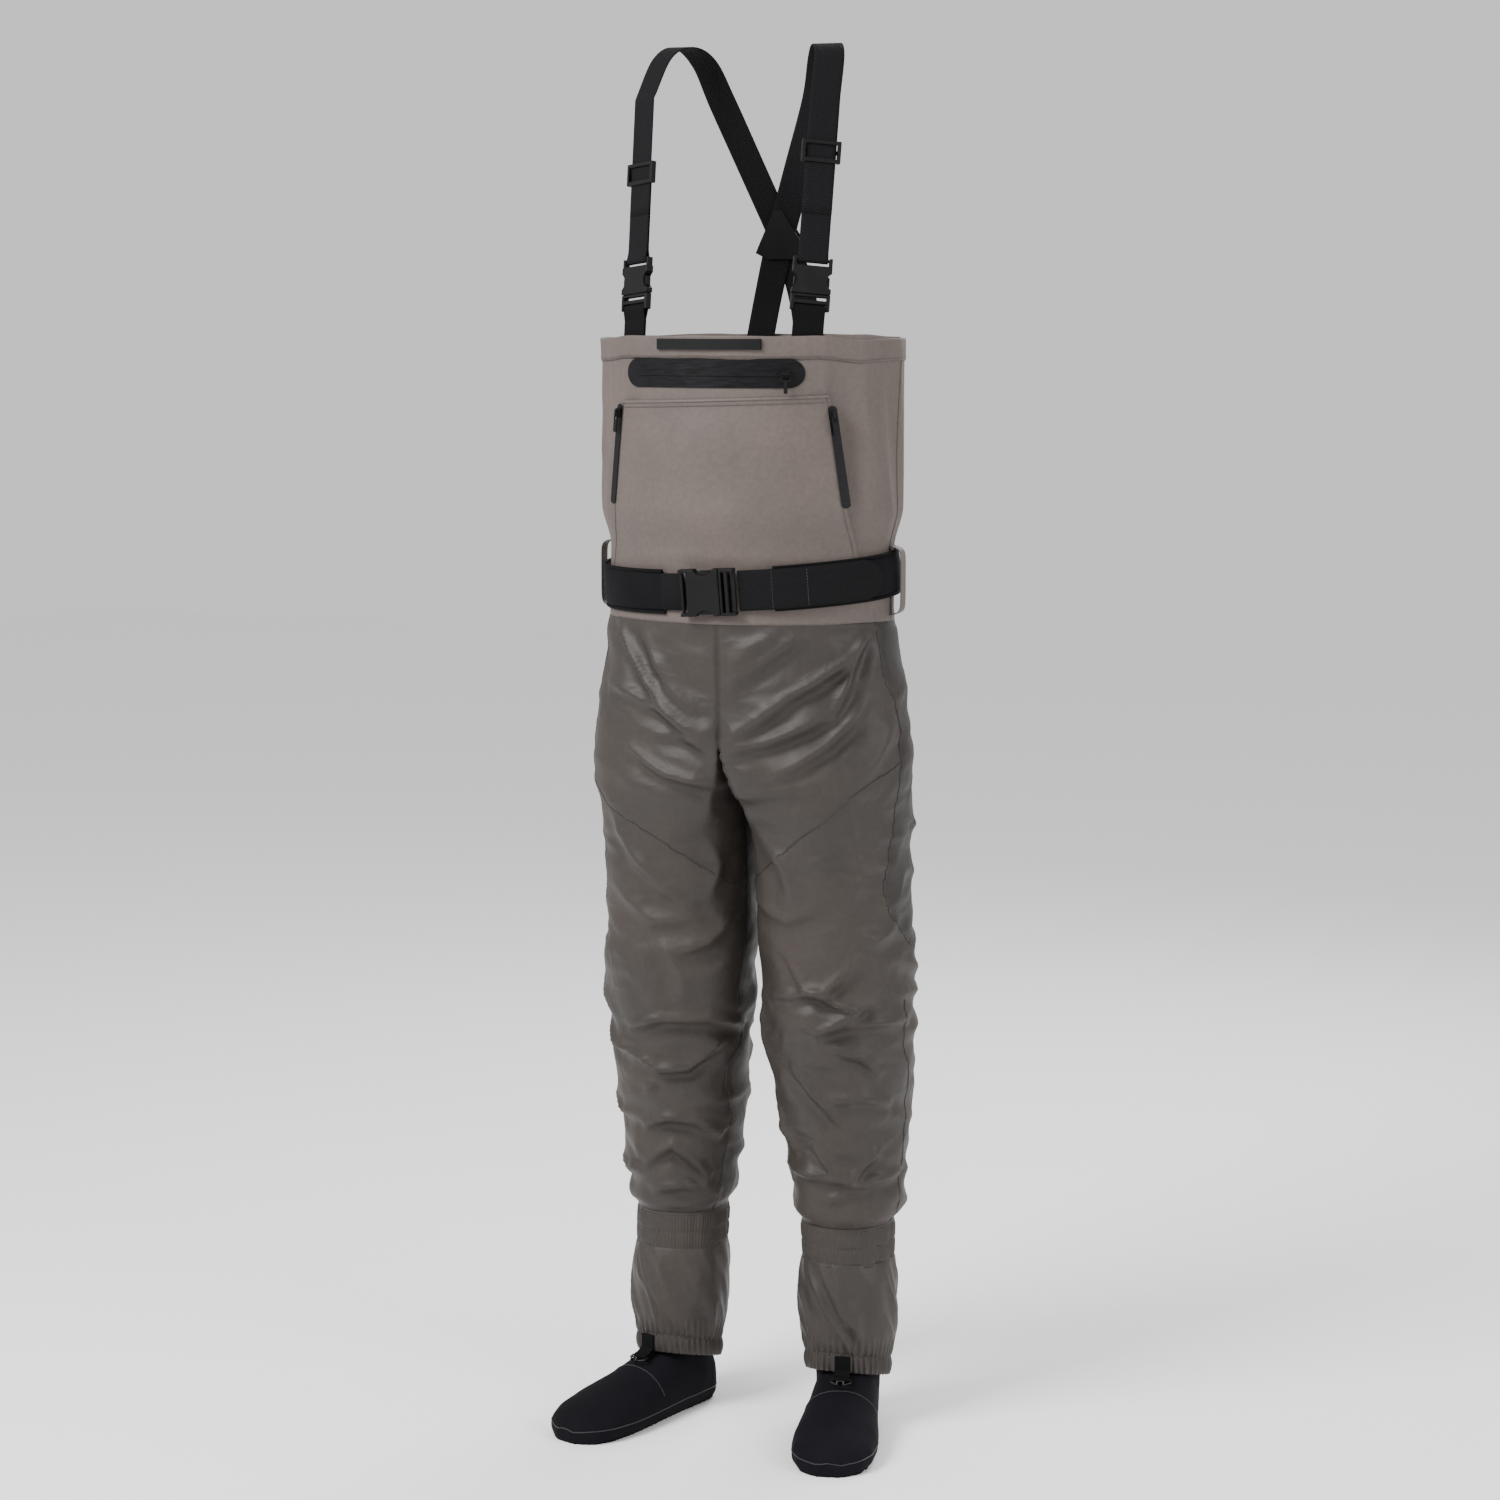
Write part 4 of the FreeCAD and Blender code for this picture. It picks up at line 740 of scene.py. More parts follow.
def laminate(name, colour, gloss, warm, crease):
    """Laminated nylon: fine plain weave, soft patches of tone, creased gloss."""
    material, tree, bsdf = shader(name, Specular_IOR_Level=0.30, Sheen_Weight=0.0, Sheen_Roughness=0.45)
    place = tree.nodes.new("ShaderNodeTexCoord")
    large = node(tree, "ShaderNodeTexNoise", Scale=9.0, Detail=3.0, Roughness=0.5)
    fine = node(tree, "ShaderNodeTexNoise", Scale=160.0, Detail=2.0, Roughness=0.6)
    for texture in (large, fine):
        tree.links.new(place.outputs["Object"], texture.inputs["Vector"])
    tone = ramp(tree, large.outputs["Fac"], shaded(colour, 0.88), tuple(c * w for c, w in zip(colour, warm)), 0.3, 0.7)
    mix = tree.nodes.new("ShaderNodeMix")
    mix.data_type, mix.blend_type = "RGBA", "MULTIPLY"
    mix.inputs["Factor"].default_value = 1.0
    tree.links.new(tone, mix.inputs[6])
    tree.links.new(ramp(tree, fine.outputs["Fac"], 0.86, 1.0, 0.3, 0.7), mix.inputs[7])
    region = tree.nodes.new("ShaderNodeAttribute")
    region.attribute_name = "side_panel"
    darker = tree.nodes.new("ShaderNodeMix")
    darker.data_type, darker.blend_type = "RGBA", "MULTIPLY"
    tree.links.new(region.outputs["Fac"], darker.inputs["Factor"])
    tree.links.new(mix.outputs[2], darker.inputs[6])
    darker.inputs[7].default_value = (0.60, 0.60, 0.62, 1)
    tree.links.new(darker.outputs[2], bsdf.inputs["Base Color"])
    tree.links.new(ramp(tree, large.outputs["Fac"], gloss, gloss + 0.12, 0.25, 0.75), bsdf.inputs["Roughness"])
    cloth = weave(tree, place.outputs["UV"], 0.0011)
    stretch = tree.nodes.new("ShaderNodeMapping")
    stretch.inputs["Scale"].default_value = (1.0, 1.0, 1.5)
    tree.links.new(place.outputs["Object"], stretch.inputs["Vector"])
    creases = node(tree, "ShaderNodeTexNoise", Scale=10.0, Detail=3.0, Roughness=0.45, Distortion=0.7)
    tree.links.new(stretch.outputs["Vector"], creases.inputs["Vector"])
    ridge = math_node(tree, "ABSOLUTE", math_node(tree, "SUBTRACT", creases.outputs["Fac"], 0.5), 0.0)
    sharp = math_node(tree, "POWER", math_node(tree, "SUBTRACT", 1.0, ridge), 3.0)
    bump(tree, bsdf, [(sharp, crease, 0.010), (cloth, 0.10, 0.0002), (fine.outputs["Fac"], 0.12, 0.0006)])
    return material


def webbing_cloth(name, colour, pitch=0.0032):
    """Woven webbing: a herringbone of ribs along the band, and a fine thread over it; the rib height also sets the
    colour, with painted shade in the grooves and painted highlight on the crests.
    """
    material, tree, bsdf = shader(name, Roughness=0.80, Specular_IOR_Level=0.10, Sheen_Weight=0.0, Sheen_Roughness=0.5)
    place = tree.nodes.new("ShaderNodeTexCoord")
    split = tree.nodes.new("ShaderNodeSeparateXYZ")
    tree.links.new(place.outputs["UV"], split.inputs[0])
    column = math_node(tree, "PINGPONG", split.outputs["X"], 0.0065)
    slant = math_node(tree, "ADD", split.outputs["Y"], math_node(tree, "MULTIPLY", column, 1.0))
    rib = math_node(tree, "SINE", math_node(tree, "MULTIPLY", slant, 2 * math.pi / pitch), 0.0)
    thread = math_node(tree, "SINE", math_node(tree, "MULTIPLY", split.outputs["X"], 2 * math.pi / 0.0011), 0.0)
    height = math_node(tree, "ADD", rib, math_node(tree, "MULTIPLY", thread, 0.5))
    # painted shade and highlight: the colour runs from dark in the rib grooves to light on the rib crests
    tree.links.new(ramp(tree, height, shaded(colour, 0.5), shaded(colour, 3.2), 0.0, 1.0), bsdf.inputs["Base Color"])
    bump(tree, bsdf, [(height, 0.55, 0.00035)])
    return material


def knit(name, colour, scale=900.0):
    """Neoprene with a knitted face: fine pores and soft patches."""
    material, tree, bsdf = shader(name, Roughness=0.86, Specular_IOR_Level=0.10, Sheen_Weight=0.0, Sheen_Roughness=0.5)
    place = tree.nodes.new("ShaderNodeTexCoord")
    cells = node(tree, "ShaderNodeTexVoronoi", Scale=scale)
    patches = node(tree, "ShaderNodeTexNoise", Scale=14.0, Detail=3.0)
    for texture in (cells, patches):
        tree.links.new(place.outputs["Object"], texture.inputs["Vector"])
    tree.links.new(
        ramp(tree, patches.outputs["Fac"], shaded(colour, 0.8), shaded(colour, 1.35), 0.3, 0.7), bsdf.inputs["Base Color"]
    )
    bump(tree, bsdf, [(cells.outputs["Distance"], 0.25, 0.0004)])
    return material


def moulded(name, colour, roughness=0.42):
    """Moulded nylon: faint grain, lighter worn edges."""
    material, tree, bsdf = shader(name, Specular_IOR_Level=0.18)
    place = tree.nodes.new("ShaderNodeTexCoord")
    grain = node(tree, "ShaderNodeTexNoise", Scale=1400.0, Detail=2.0)
    wear = node(tree, "ShaderNodeTexNoise", Scale=60.0, Detail=4.0)
    for texture in (grain, wear):
        tree.links.new(place.outputs["Object"], texture.inputs["Vector"])
    tree.links.new(ramp(tree, wear.outputs["Fac"], colour, shaded(colour, 1.6), 0.45, 0.75), bsdf.inputs["Base Color"])
    tree.links.new(ramp(tree, wear.outputs["Fac"], roughness, roughness + 0.14, 0.3, 0.7), bsdf.inputs["Roughness"])
    bump(tree, bsdf, [(grain.outputs["Fac"], 0.12, 0.0002)])
    return material


def film(name, colour):
    """Bonded rubber film over a zip: smooth, with faint level ripples."""
    material, tree, bsdf = shader(name, Specular_IOR_Level=0.16)
    place = tree.nodes.new("ShaderNodeTexCoord")
    stretch = tree.nodes.new("ShaderNodeMapping")
    stretch.inputs["Scale"].default_value = (1.0, 1.0, 7.0)
    tree.links.new(place.outputs["Object"], stretch.inputs["Vector"])
    ripple = node(tree, "ShaderNodeTexNoise", Scale=55.0, Detail=3.0)
    tree.links.new(stretch.outputs["Vector"], ripple.inputs["Vector"])
    tree.links.new(ramp(tree, ripple.outputs["Fac"], colour, shaded(colour, 1.7), 0.3, 0.8), bsdf.inputs["Base Color"])
    tree.links.new(ramp(tree, ripple.outputs["Fac"], 0.34, 0.52, 0.3, 0.7), bsdf.inputs["Roughness"])
    bump(tree, bsdf, [(ripple.outputs["Fac"], 0.25, 0.0006)])
    return material


def wire_steel(name):
    material, tree, bsdf = shader(name, Metallic=1.0, Specular_IOR_Level=0.5)
    place = tree.nodes.new("ShaderNodeTexCoord")
    scratch = node(tree, "ShaderNodeTexNoise", Scale=700.0, Detail=3.0)
    tree.links.new(place.outputs["Object"], scratch.inputs["Vector"])
    tree.links.new(ramp(tree, scratch.outputs["Fac"], (0.018, 0.018, 0.019), (0.045, 0.043, 0.042)), bsdf.inputs["Base Color"])
    tree.links.new(ramp(tree, scratch.outputs["Fac"], 0.30, 0.48), bsdf.inputs["Roughness"])
    return material


def thread(name, colour):
    material, tree, bsdf = shader(name, Roughness=0.6, Specular_IOR_Level=0.4, Sheen_Weight=0.2, Sheen_Roughness=0.4)
    place = tree.nodes.new("ShaderNodeTexCoord")
    twist = node(tree, "ShaderNodeTexNoise", Scale=900.0, Detail=1.0)
    tree.links.new(place.outputs["Object"], twist.inputs["Vector"])
    tree.links.new(ramp(tree, twist.outputs["Fac"], shaded(colour, 0.75), shaded(colour, 1.2)), bsdf.inputs["Base Color"])
    return material


MATERIALS = {}


def make_materials():
    s = sizes()
    bib, leg, black = tuple(s.bib_colour), tuple(s.leg_colour), tuple(s.black)
    MATERIALS.update({
        "bib": laminate("bib_laminate", bib, 0.56, (1.06, 1.03, 1.0), 0.10),
        "leg": laminate("leg_laminate", leg, 0.48, (1.22, 1.12, 1.02), 0.20),
        "panel": laminate("side_panel_laminate", shaded(leg, 0.72), 0.40, (1.1, 1.05, 1.02), 0.20),
        "webbing": webbing_cloth("webbing", black),
        "belt": knit("belt_padding", (0.0040, 0.0040, 0.0050), 1100.0),
        "sock": knit("sock_neoprene", (0.0042, 0.0036, 0.0056)),
        "binding": webbing_cloth("binding", (0.005, 0.005, 0.0055), 0.0018),
        "buckle": moulded("buckle_nylon", (0.0024, 0.0024, 0.0028), 0.50),
        "trim": moulded("moulded_trim", (0.0035, 0.0035, 0.0040), 0.62),
        "film": film("zip_film", (0.0028, 0.0028, 0.0034)),
        "wire": wire_steel("hook_wire"),
        "mesh": knit("pocket_mesh", (0.03, 0.03, 0.032), 500.0),
        "bib_thread": thread("bib_thread", shaded(bib, 0.45)),
        "leg_thread": thread("leg_thread", shaded(leg, 1.5)),
        "black_thread": thread("black_thread", (0.010, 0.010, 0.012)),
    })


CAD_FINISHES = {
    "chest_zip_patch": "film", "chest_zip_chain": "film", "pouch_zips": "film",
    "chest_zip_slider": "buckle", "chest_zip_pull": "buckle",
    "pouch_slider_left": "buckle", "pouch_slider_right": "buckle",
    "pouch_pull_left": "buckle", "pouch_pull_right": "buckle",
    "chest_pocket_bag": "mesh", "docking_strip": "trim", "back_patch": "trim",
    "shoulder_buckle_males": "buckle", "belt_buckle_female": "buckle", "belt_buckle_male": "buckle",
    "belt_buckle_arm_upper": "buckle", "belt_buckle_arm_lower": "buckle",
    "lace_hook_left": "wire", "lace_hook_right": "wire",
    "hook_tab_left": "webbing", "hook_tab_right": "webbing",
}  # fmt: skip
for _side, _ in SIDES:
    for _name in ("shoulder_buckle_female", "shoulder_arm_outer", "shoulder_arm_inner", "triglide"):
        CAD_FINISHES[f"{_name}_{_side}"] = "buckle"


def finish_piece(obj, body=None, blend=None, replaces=()):
    """Body and replaced nodes of a finished piece; a piece with a blend is baked in place instead of being parented to
    its body.
    """
    if blend:
        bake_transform(obj)
    else:
        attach(obj, body)
    if replaces:
        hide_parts(*replaces)
    return obj


# ------------------------------------------------------------------ pieces: trousers and bib
def make_trousers():
    made = []
    for name, side in SIDES:
        folds = FOLDS_LEFT if name == "left" else FOLDS_RIGHT
        points, angles, heights = trouser_half(side, folds, sizes().seed + (0 if side > 0 else 7))
        shade = panel_share(angles, heights)
        seat = cut_piece(f"seat_{name}", points, heights, SEAM_Z, THIGH_CUT, side, MATERIALS["leg"], shade)
        leg = cut_piece(f"leg_{name}", points, heights, THIGH_CUT, BAND_TOP, side, MATERIALS["leg"], shade)
        made += [seat, leg]
    cloth = surface_tree(made)
    for obj in made:
        thickened(obj, sizes().cloth)
    for name, _ in SIDES:
        seat, leg = bpy.data.objects[f"seat_{name}"], bpy.data.objects[f"leg_{name}"]
        finish_piece(
            seat, blend=("bib", f"thigh_{name}", (0, 0, 0.925), (0, 0, 0.785)),
            replaces=[f"hip_{name}", f"thigh_{name}", "seat_panels"],
        )  # fmt: skip
        finish_piece(
            leg, blend=(f"thigh_{name}", f"shin_{name}", (0, 0, 0.625), (0, 0, 0.485)),
            replaces=[f"knee_{name}", f"shin_{name}"],
        )  # fmt: skip
    return cloth


def bib_lift(angle, z):
    """How far the bib's cloth stands off its form: soft at the sides and back, drawn in above the belt."""
    front = max(0.0, -math.sin(angle))
    soft = 1.0 - float(smoothstep((front - 0.60) / 0.22))
    p = Vector((math.cos(angle) * 3.0, math.sin(angle) * 3.0, z * 4.0))
    high = math.sin(math.pi * min(1, max(0, (z - 1.14) / 0.27)))
    crease = 1 - 2 * abs(noise.noise(Vector((math.cos(angle) * 4, math.sin(angle) * 4 + z * 1.2, z * 2.6 + 3))))
    lift = high * soft * (0.0085 * (crease - 0.70) - 0.0050 * (0.5 + 0.5 * noise.noise(p * 1.2)))
    above = max(0.0, 1 - abs(z - 1.150) / 0.05)
    ripple = math.sin(angle * 17 + 2.0 * noise.noise(p)) * 0.5 + 0.5
    lift -= 0.0022 * soft * above * ripple
    top = float(smoothstep((z - 1.32) / 0.08))
    lift += 0.0020 * top * noise.noise(Vector((math.cos(angle) * 2.4, math.sin(angle) * 2.4, 7)))
    return lift


def rim_rise(angle, z):
    """The rim rises at the straps, and droops between them and at the corners."""
    near = float(smoothstep((z - 1.33) / 0.06))
    c, s = math.cos(angle), math.sin(angle)
    corner = math.exp(-(((abs(c) - 0.93) / 0.10) ** 2)) * (1 if s < 0.3 else 0.5)
    return near * (-0.0055 * corner + 0.0016 * noise.noise(Vector((c * 3, s * 3, 2))))


def make_bib():
    rows, columns = 96, 240
    verts, uv = [], []
    for i in range(rows):
        z = RIM_Z + (SEAM_Z - 0.004 - RIM_Z) * i / (rows - 1)
        over = 0.0007 * float(smoothstep((SEAM_Z + 0.010 - z) / 0.006))
        for k in range(columns):
            angle = 2 * math.pi * k / columns
            verts.append(torso_point(angle, z, bib_lift(angle, z) + over) + Vector((0, 0, rim_rise(angle, z))))
            uv.append((angle * 0.165, z))
    shell = new_object("bib_shell", verts, grid_faces(rows, columns), MATERIALS["bib"], uv)
    thickened(shell, sizes().cloth)
    finish_piece(shell, "bib", replaces=["bib_front_panel", "bib_back_panel"])

    profile = [(0.0010, -0.026), (0.0017, -0.022), (0.0016, -0.006), (0.0017, 0.0), (0.0012, 0.0021), (-0.0006, 0.0024),
               (-0.0020, 0.0018), (-0.0026, -0.001), (-0.0026, -0.012), (-0.0026, -0.024), (-0.0014, -0.0245),
               (-0.0012, -0.012), (-0.0012, 0.0008), (0.0003, 0.0010), (0.0004, -0.012), (0.0006, -0.0255)]  # fmt: skip
    verts, uv = [], []
    for k in range(320):
        angle = 2 * math.pi * k / 320
        p = Vector((math.cos(angle) * 9, math.sin(angle) * 9, 0.3))
        wave = 0.0008 * noise.noise(p) + 0.0005 * noise.noise(p * 3)
        for grow, rise in profile:
            lift = bib_lift(angle, RIM_Z + rise) + (0.4 * wave if grow > 0 else 0)
            z = RIM_Z + rise + (wave if rise < -0.02 else 0)
            verts.append(torso_point(angle, z, grow + lift) + Vector((0, 0, rim_rise(angle, z))))
            uv.append((angle * 0.165, RIM_Z + rise))
    count = len(profile)
    faces = [
        (k * count + i, k * count + (i + 1) % count,
         (k + 1) % 320 * count + (i + 1) % count, (k + 1) % 320 * count + i)
        for k in range(320)
        for i in range(count)
    ]  # fmt: skip
    hem = outward(new_object("rim_hem", verts, faces, MATERIALS["bib"], uv))
    finish_piece(hem, "bib", replaces=["top_hem"])


def pouch_point(u, v, lift):
    """u from 0 to 1 across, v from 0 to 1 down the hand pouch."""
    low_z = 1.0955
    x_top, x_low = -0.135 + 0.270 * u, -0.166 + 0.332 * u
    z_top = 1.322 + 0.009 * u
    z = z_top + (low_z - z_top) * v
    x = x_top + (x_low - x_top) * v
    point, out = front_point(x, z, lift)
    return point, out


def make_pouch():
    columns, rows = 110, 80
    verts, uv = [], []
    for i in range(rows):
        v = i / (rows - 1)
        for k in range(columns):
            u = k / (columns - 1)
            side_gap, top_gap = min(u, 1 - u), min(v, 1 - v)
            full = float(smoothstep((side_gap - 0.02) / 0.22)) * float(smoothstep((v - 0.02) / 0.20))
            full *= float(smoothstep((0.93 - v) / 0.12))
            p = Vector((u * 3.2, v * 2.2, 4.0))
            lift = 0.0013 + full * (0.0026 + 0.0012 * noise.noise(p))
            lift += 0.0008 * full * noise.noise(Vector((u * 9, v * 5, 1)))
            edge = max(0.0, 1 - min(side_gap * 0.30, v * 0.23) / 0.007)
            lift += 0.00035 * min(1.0, edge * 2)
            if top_gap < 0 or lift < 0.0011:
                lift = 0.0011
            point, _ = pouch_point(u, v, lift)
            verts.append(point)
            uv.append((u * 0.30, v * 0.23))
    pouch = new_object("hand_pouch", verts, grid_faces(rows, columns, closed=False), MATERIALS["bib"], uv)
    thickened(outward(pouch), 0.0009)
    finish_piece(pouch, "bib", replaces=["handwarmer_pouch"])


# ------------------------------------------------------------------ pieces: belt
def waist_point(angle, grow, up):
    r = float(oval_radius(WAIST, angle)) + grow
    return tilted((r * math.cos(angle), TORSO_Y + r * math.sin(angle), BELT_Z + up))


def waist_angle(x):
    """Angle on the front of the waist where the belt's middle line is at x."""
    low, high = -math.pi, 0.0
    for _ in range(40):
        mid = (low + high) / 2
        if (float(oval_radius(WAIST, mid)) + 0.006) * math.cos(mid) < x:
            low = mid
        else:
            high = mid
    return (low + high) / 2


def sweep_band(name, angles, profile_at, material, closed_ends=True):
    """A band along the waist; profile_at gives (grow, up) pairs for each place."""
    verts, uv, run, last = [], [], 0.0, None
    for i, angle in enumerate(angles):
        profile = profile_at(i / (len(angles) - 1))
        here = waist_point(angle, 0.006, 0)
        run += (here - last).length if last else 0.0
        last = here
        for grow, up in profile:
            verts.append(waist_point(angle, grow, up))
            uv.append((up, run))
    faces = grid_faces(len(angles), len(profile))
    faces.append(tuple(range(len(profile))))
    faces.append(tuple((len(angles) - 1) * len(profile) + k for k in reversed(range(len(profile)))))
    return outward(new_object(name, verts, faces, material, uv))


def belt_profile(t):
    half = sizes().belt_height / 2
    ease = min(1.0, 10 * t, 10 * (1 - t))
    thick = 0.0030 + 0.0021 * float(smoothstep(ease))
    outer = []
    for k in range(15):
        s = -1 + k / 7
        bulge = (1 - abs(s) ** 3.5) ** 0.5
        outer.append((0.0036 + thick * (0.52 + 0.48 * bulge), s * (half - 0.0035)))
    inner = [(0.0036, (half - 0.0035) * (1 - k / 2)) for k in range(5)]
    return outer + inner


def make_belt():
    s = sizes()
    half = s.belt_height / 2
    start, end = waist_angle(0.072), waist_angle(-0.072) + 2 * math.pi
    angles = [start + (end - start) * k / 260 for k in range(261)]
    pad = sweep_band("belt_pad", angles, belt_profile, MATERIALS["belt"])
    finish_piece(pad, "bib", replaces=["belt"])
    edges = []
    for way in (-1, 1):
        line = [waist_point(a, 0.0060, way * (half - 0.0022)) for a in angles]
        edges.append(line)
    piping = rod_mesh("belt_piping", edges, 0.0021, MATERIALS["binding"], 10)
    finish_piece(piping, "bib")
    link_angles = [waist_angle(-0.0735 + 0.0325 * k / 10) for k in range(11)]
    front_link = sweep_band(
        "belt_link", link_angles[::-1],
        lambda t: [(0.0058, -0.023), (0.0074, -0.0225), (0.0078, 0), (0.0074, 0.0225), (0.0058, 0.023), (0.0054, 0)],
        MATERIALS["webbing"],
    )  # fmt: skip
    finish_piece(front_link, "bib")

    tail_end = math.atan2(-0.038 - TORSO_Y, 0.19)
    tail_start = waist_angle(0.030)
    count = 150
    length = 0.0
    places = [tail_start + (tail_end - tail_start) * k / count for k in range(count + 1)]
    runs = [0.0]
    for a, b in zip(places, places[1:]):
        length += (waist_point(b, 0.0105, 0) - waist_point(a, 0.0105, 0)).length
        runs.append(length)

    def tail_profile(t):
        run = float(np.interp(t * count, range(count + 1), runs))
        left = length + 0.025 - run - 0.025
        high = 0.025 * math.sqrt(max(0.02, 1 - max(0.0, 1 - left / 0.025) ** 2))
        lift = 0.0088 + 0.0006 * math.sin(run * 30)
        if run < 0.04:
            lift = 0.0066 + 0.0022 * float(smoothstep(run / 0.04))
        row = [(lift + 0.0028, high * (-1 + k / 6) * 0.96) for k in range(13)]
        back = [(lift, high * (1 - k / 3)) for k in range(7)]
        return row + back

    tail = sweep_band("belt_tail_band", places, tail_profile, MATERIALS["webbing"])
    finish_piece(
        tail, blend=("bib", "belt_male", Vector((0.110, 0, 1.1)), Vector((0.040, 0, 1.1))),
        replaces=["belt_tail"],
    )  # fmt: skip


# ------------------------------------------------------------------ pieces: straps
def strap_frame(name):
    """Origin at the rim, and the directions across, inward and along the front run (left side)."""
    x = 0.109 if name == "left" else 0.117
    origin = Vector((x, 0.110 - math.sqrt((0.240 - 0.00545) ** 2 - x**2), RIM_Z))
    along = Vector((4, 42, 240)).normalized()
    turn = math.asin(x / 0.240)
    across = Vector((math.cos(turn), math.sin(turn), 0))
    across = (across - along * across.dot(along)).normalized()
    return origin, across, along.cross(across), along


def strap_line(name):
    """Centre line of a strap's upper layer and its outward directions, for the left side."""
    origin, _, inward, along = strap_frame(name)
    rise = RIM_Z - 1.400
    c = (-0.0013 if name == "left" else 0.0013)
    layer = Vector((0, c, 0.3 * c))
    out, up, back = -inward, Vector((-0.1, 0.15, 1)), Vector((0, 0.96, 0.27))
    level = Vector((0, 1, 0.05))
    front = [origin + along * d - inward * 0.0011 for d in np.linspace(0.1502, 0.295, 12)]
    keys = [
        (0.109, -0.017, 1.741, 0), (0.094, 0.016, 1.756, 0), (0.078, 0.047, 1.738, 0), (0.062, 0.070, 1.690, 0),
        (0.031, 0.093, 1.608, 1), (0, 0.116, 1.527, 1), (-0.012, 0.1265, 1.490, 1), (-0.024, 0.1315, 1.444, 0.7),
        (-0.032, 0.1285, 1.400, 0), (-0.036, 0.1285, 1.378, 0),
    ]  # fmt: skip
    bend = front[-1:] + [Vector((x, y, z + rise)) + layer * share for x, y, z, share in keys]
    faces = [out, out * 0.75 + up * 0.55, up, up * 0.55 + back * 0.7] + [back] * 4 + [level] * 3
    points = front[:-1] + curved(bend, 8)
    return points, [n.normalized() for n in [out] * (len(front) - 1) + curved(faces, 8)]


def make_straps():
    s = sizes()
    made = []
    for name, side in SIDES:
        points, normals = strap_line(name)
        flip = Vector((side, 1, 1))
        run = ribbon(
            f"strap_{name}", [p * flip for p in points], [n * flip for n in normals],
            s.webbing - 0.001, s.webbing_thick, MATERIALS["webbing"],
        )  # fmt: skip
        made.append(run)
    straps = joined("straps", made)
    finish_piece(straps, "bib", replaces=["shoulder_straps"])
    for name, side in SIDES:
        make_loop(name, side)


def make_loop(name, side):
    """The webbing round the buckle's bar, and the layer that goes up behind to the triglide."""
    s = sizes()
    origin, _, inward, along = strap_frame(name)
    flip = Vector((side, 1, 1))

    def at(up, off):
        return (origin + along * (up / 1000) + inward * (off / 1000)) * flip

    turn = [
        (150.0, -1.1, -1, 0), (128, -1.1, -1, 0), (108, -1.2, -1, 0), (100, -2.4, -1, 0), (96, -3.1, -1, 0),
        (92.4, -2.3, -1, -1), (91.0, 0, 0, -1), (92.4, 2.3, 1, -1), (96, 3.1, 1, 0), (100, 2.4, 1, 0),
        (108, 1.2, 1, 0), (128, 1.1, 1, 0), (150.0, 1.1, 1, 0),
    ]  # fmt: skip
    points = curved([at(up, off) for up, off, _, _ in turn], 4)
    faces = curved([(inward * i + along * a).normalized() * flip for _, _, i, a in turn], 4)
    low = ribbon(
        f"loop_{name}", points, [n.normalized() for n in faces], s.webbing - 0.0015, s.webbing_thick - 0.0001,
        MATERIALS["webbing"],
    )  # fmt: skip
    finish_piece(
        low, blend=("bib", f"shoulder_buckle_{name}", at(148, 0) + SHIFT, at(112, 0) + SHIFT),
        replaces=["strap_loops"],
    )  # fmt: skip
    end = 223.1 if name == "left" else 199.1
    points = [at(150.0 + (end - 150.0) * k / 12, 1.1) for k in range(13)]
    high = ribbon(
        f"loop_end_{name}", points, [inward * flip] * 13, s.webbing - 0.0015, s.webbing_thick - 0.0001,
        MATERIALS["webbing"],
    )  # fmt: skip
    finish_piece(
        high, blend=("bib", f"triglide_{name}", at(152, 0) + SHIFT, at(end - 8, 0) + SHIFT),
    )  # fmt: skip


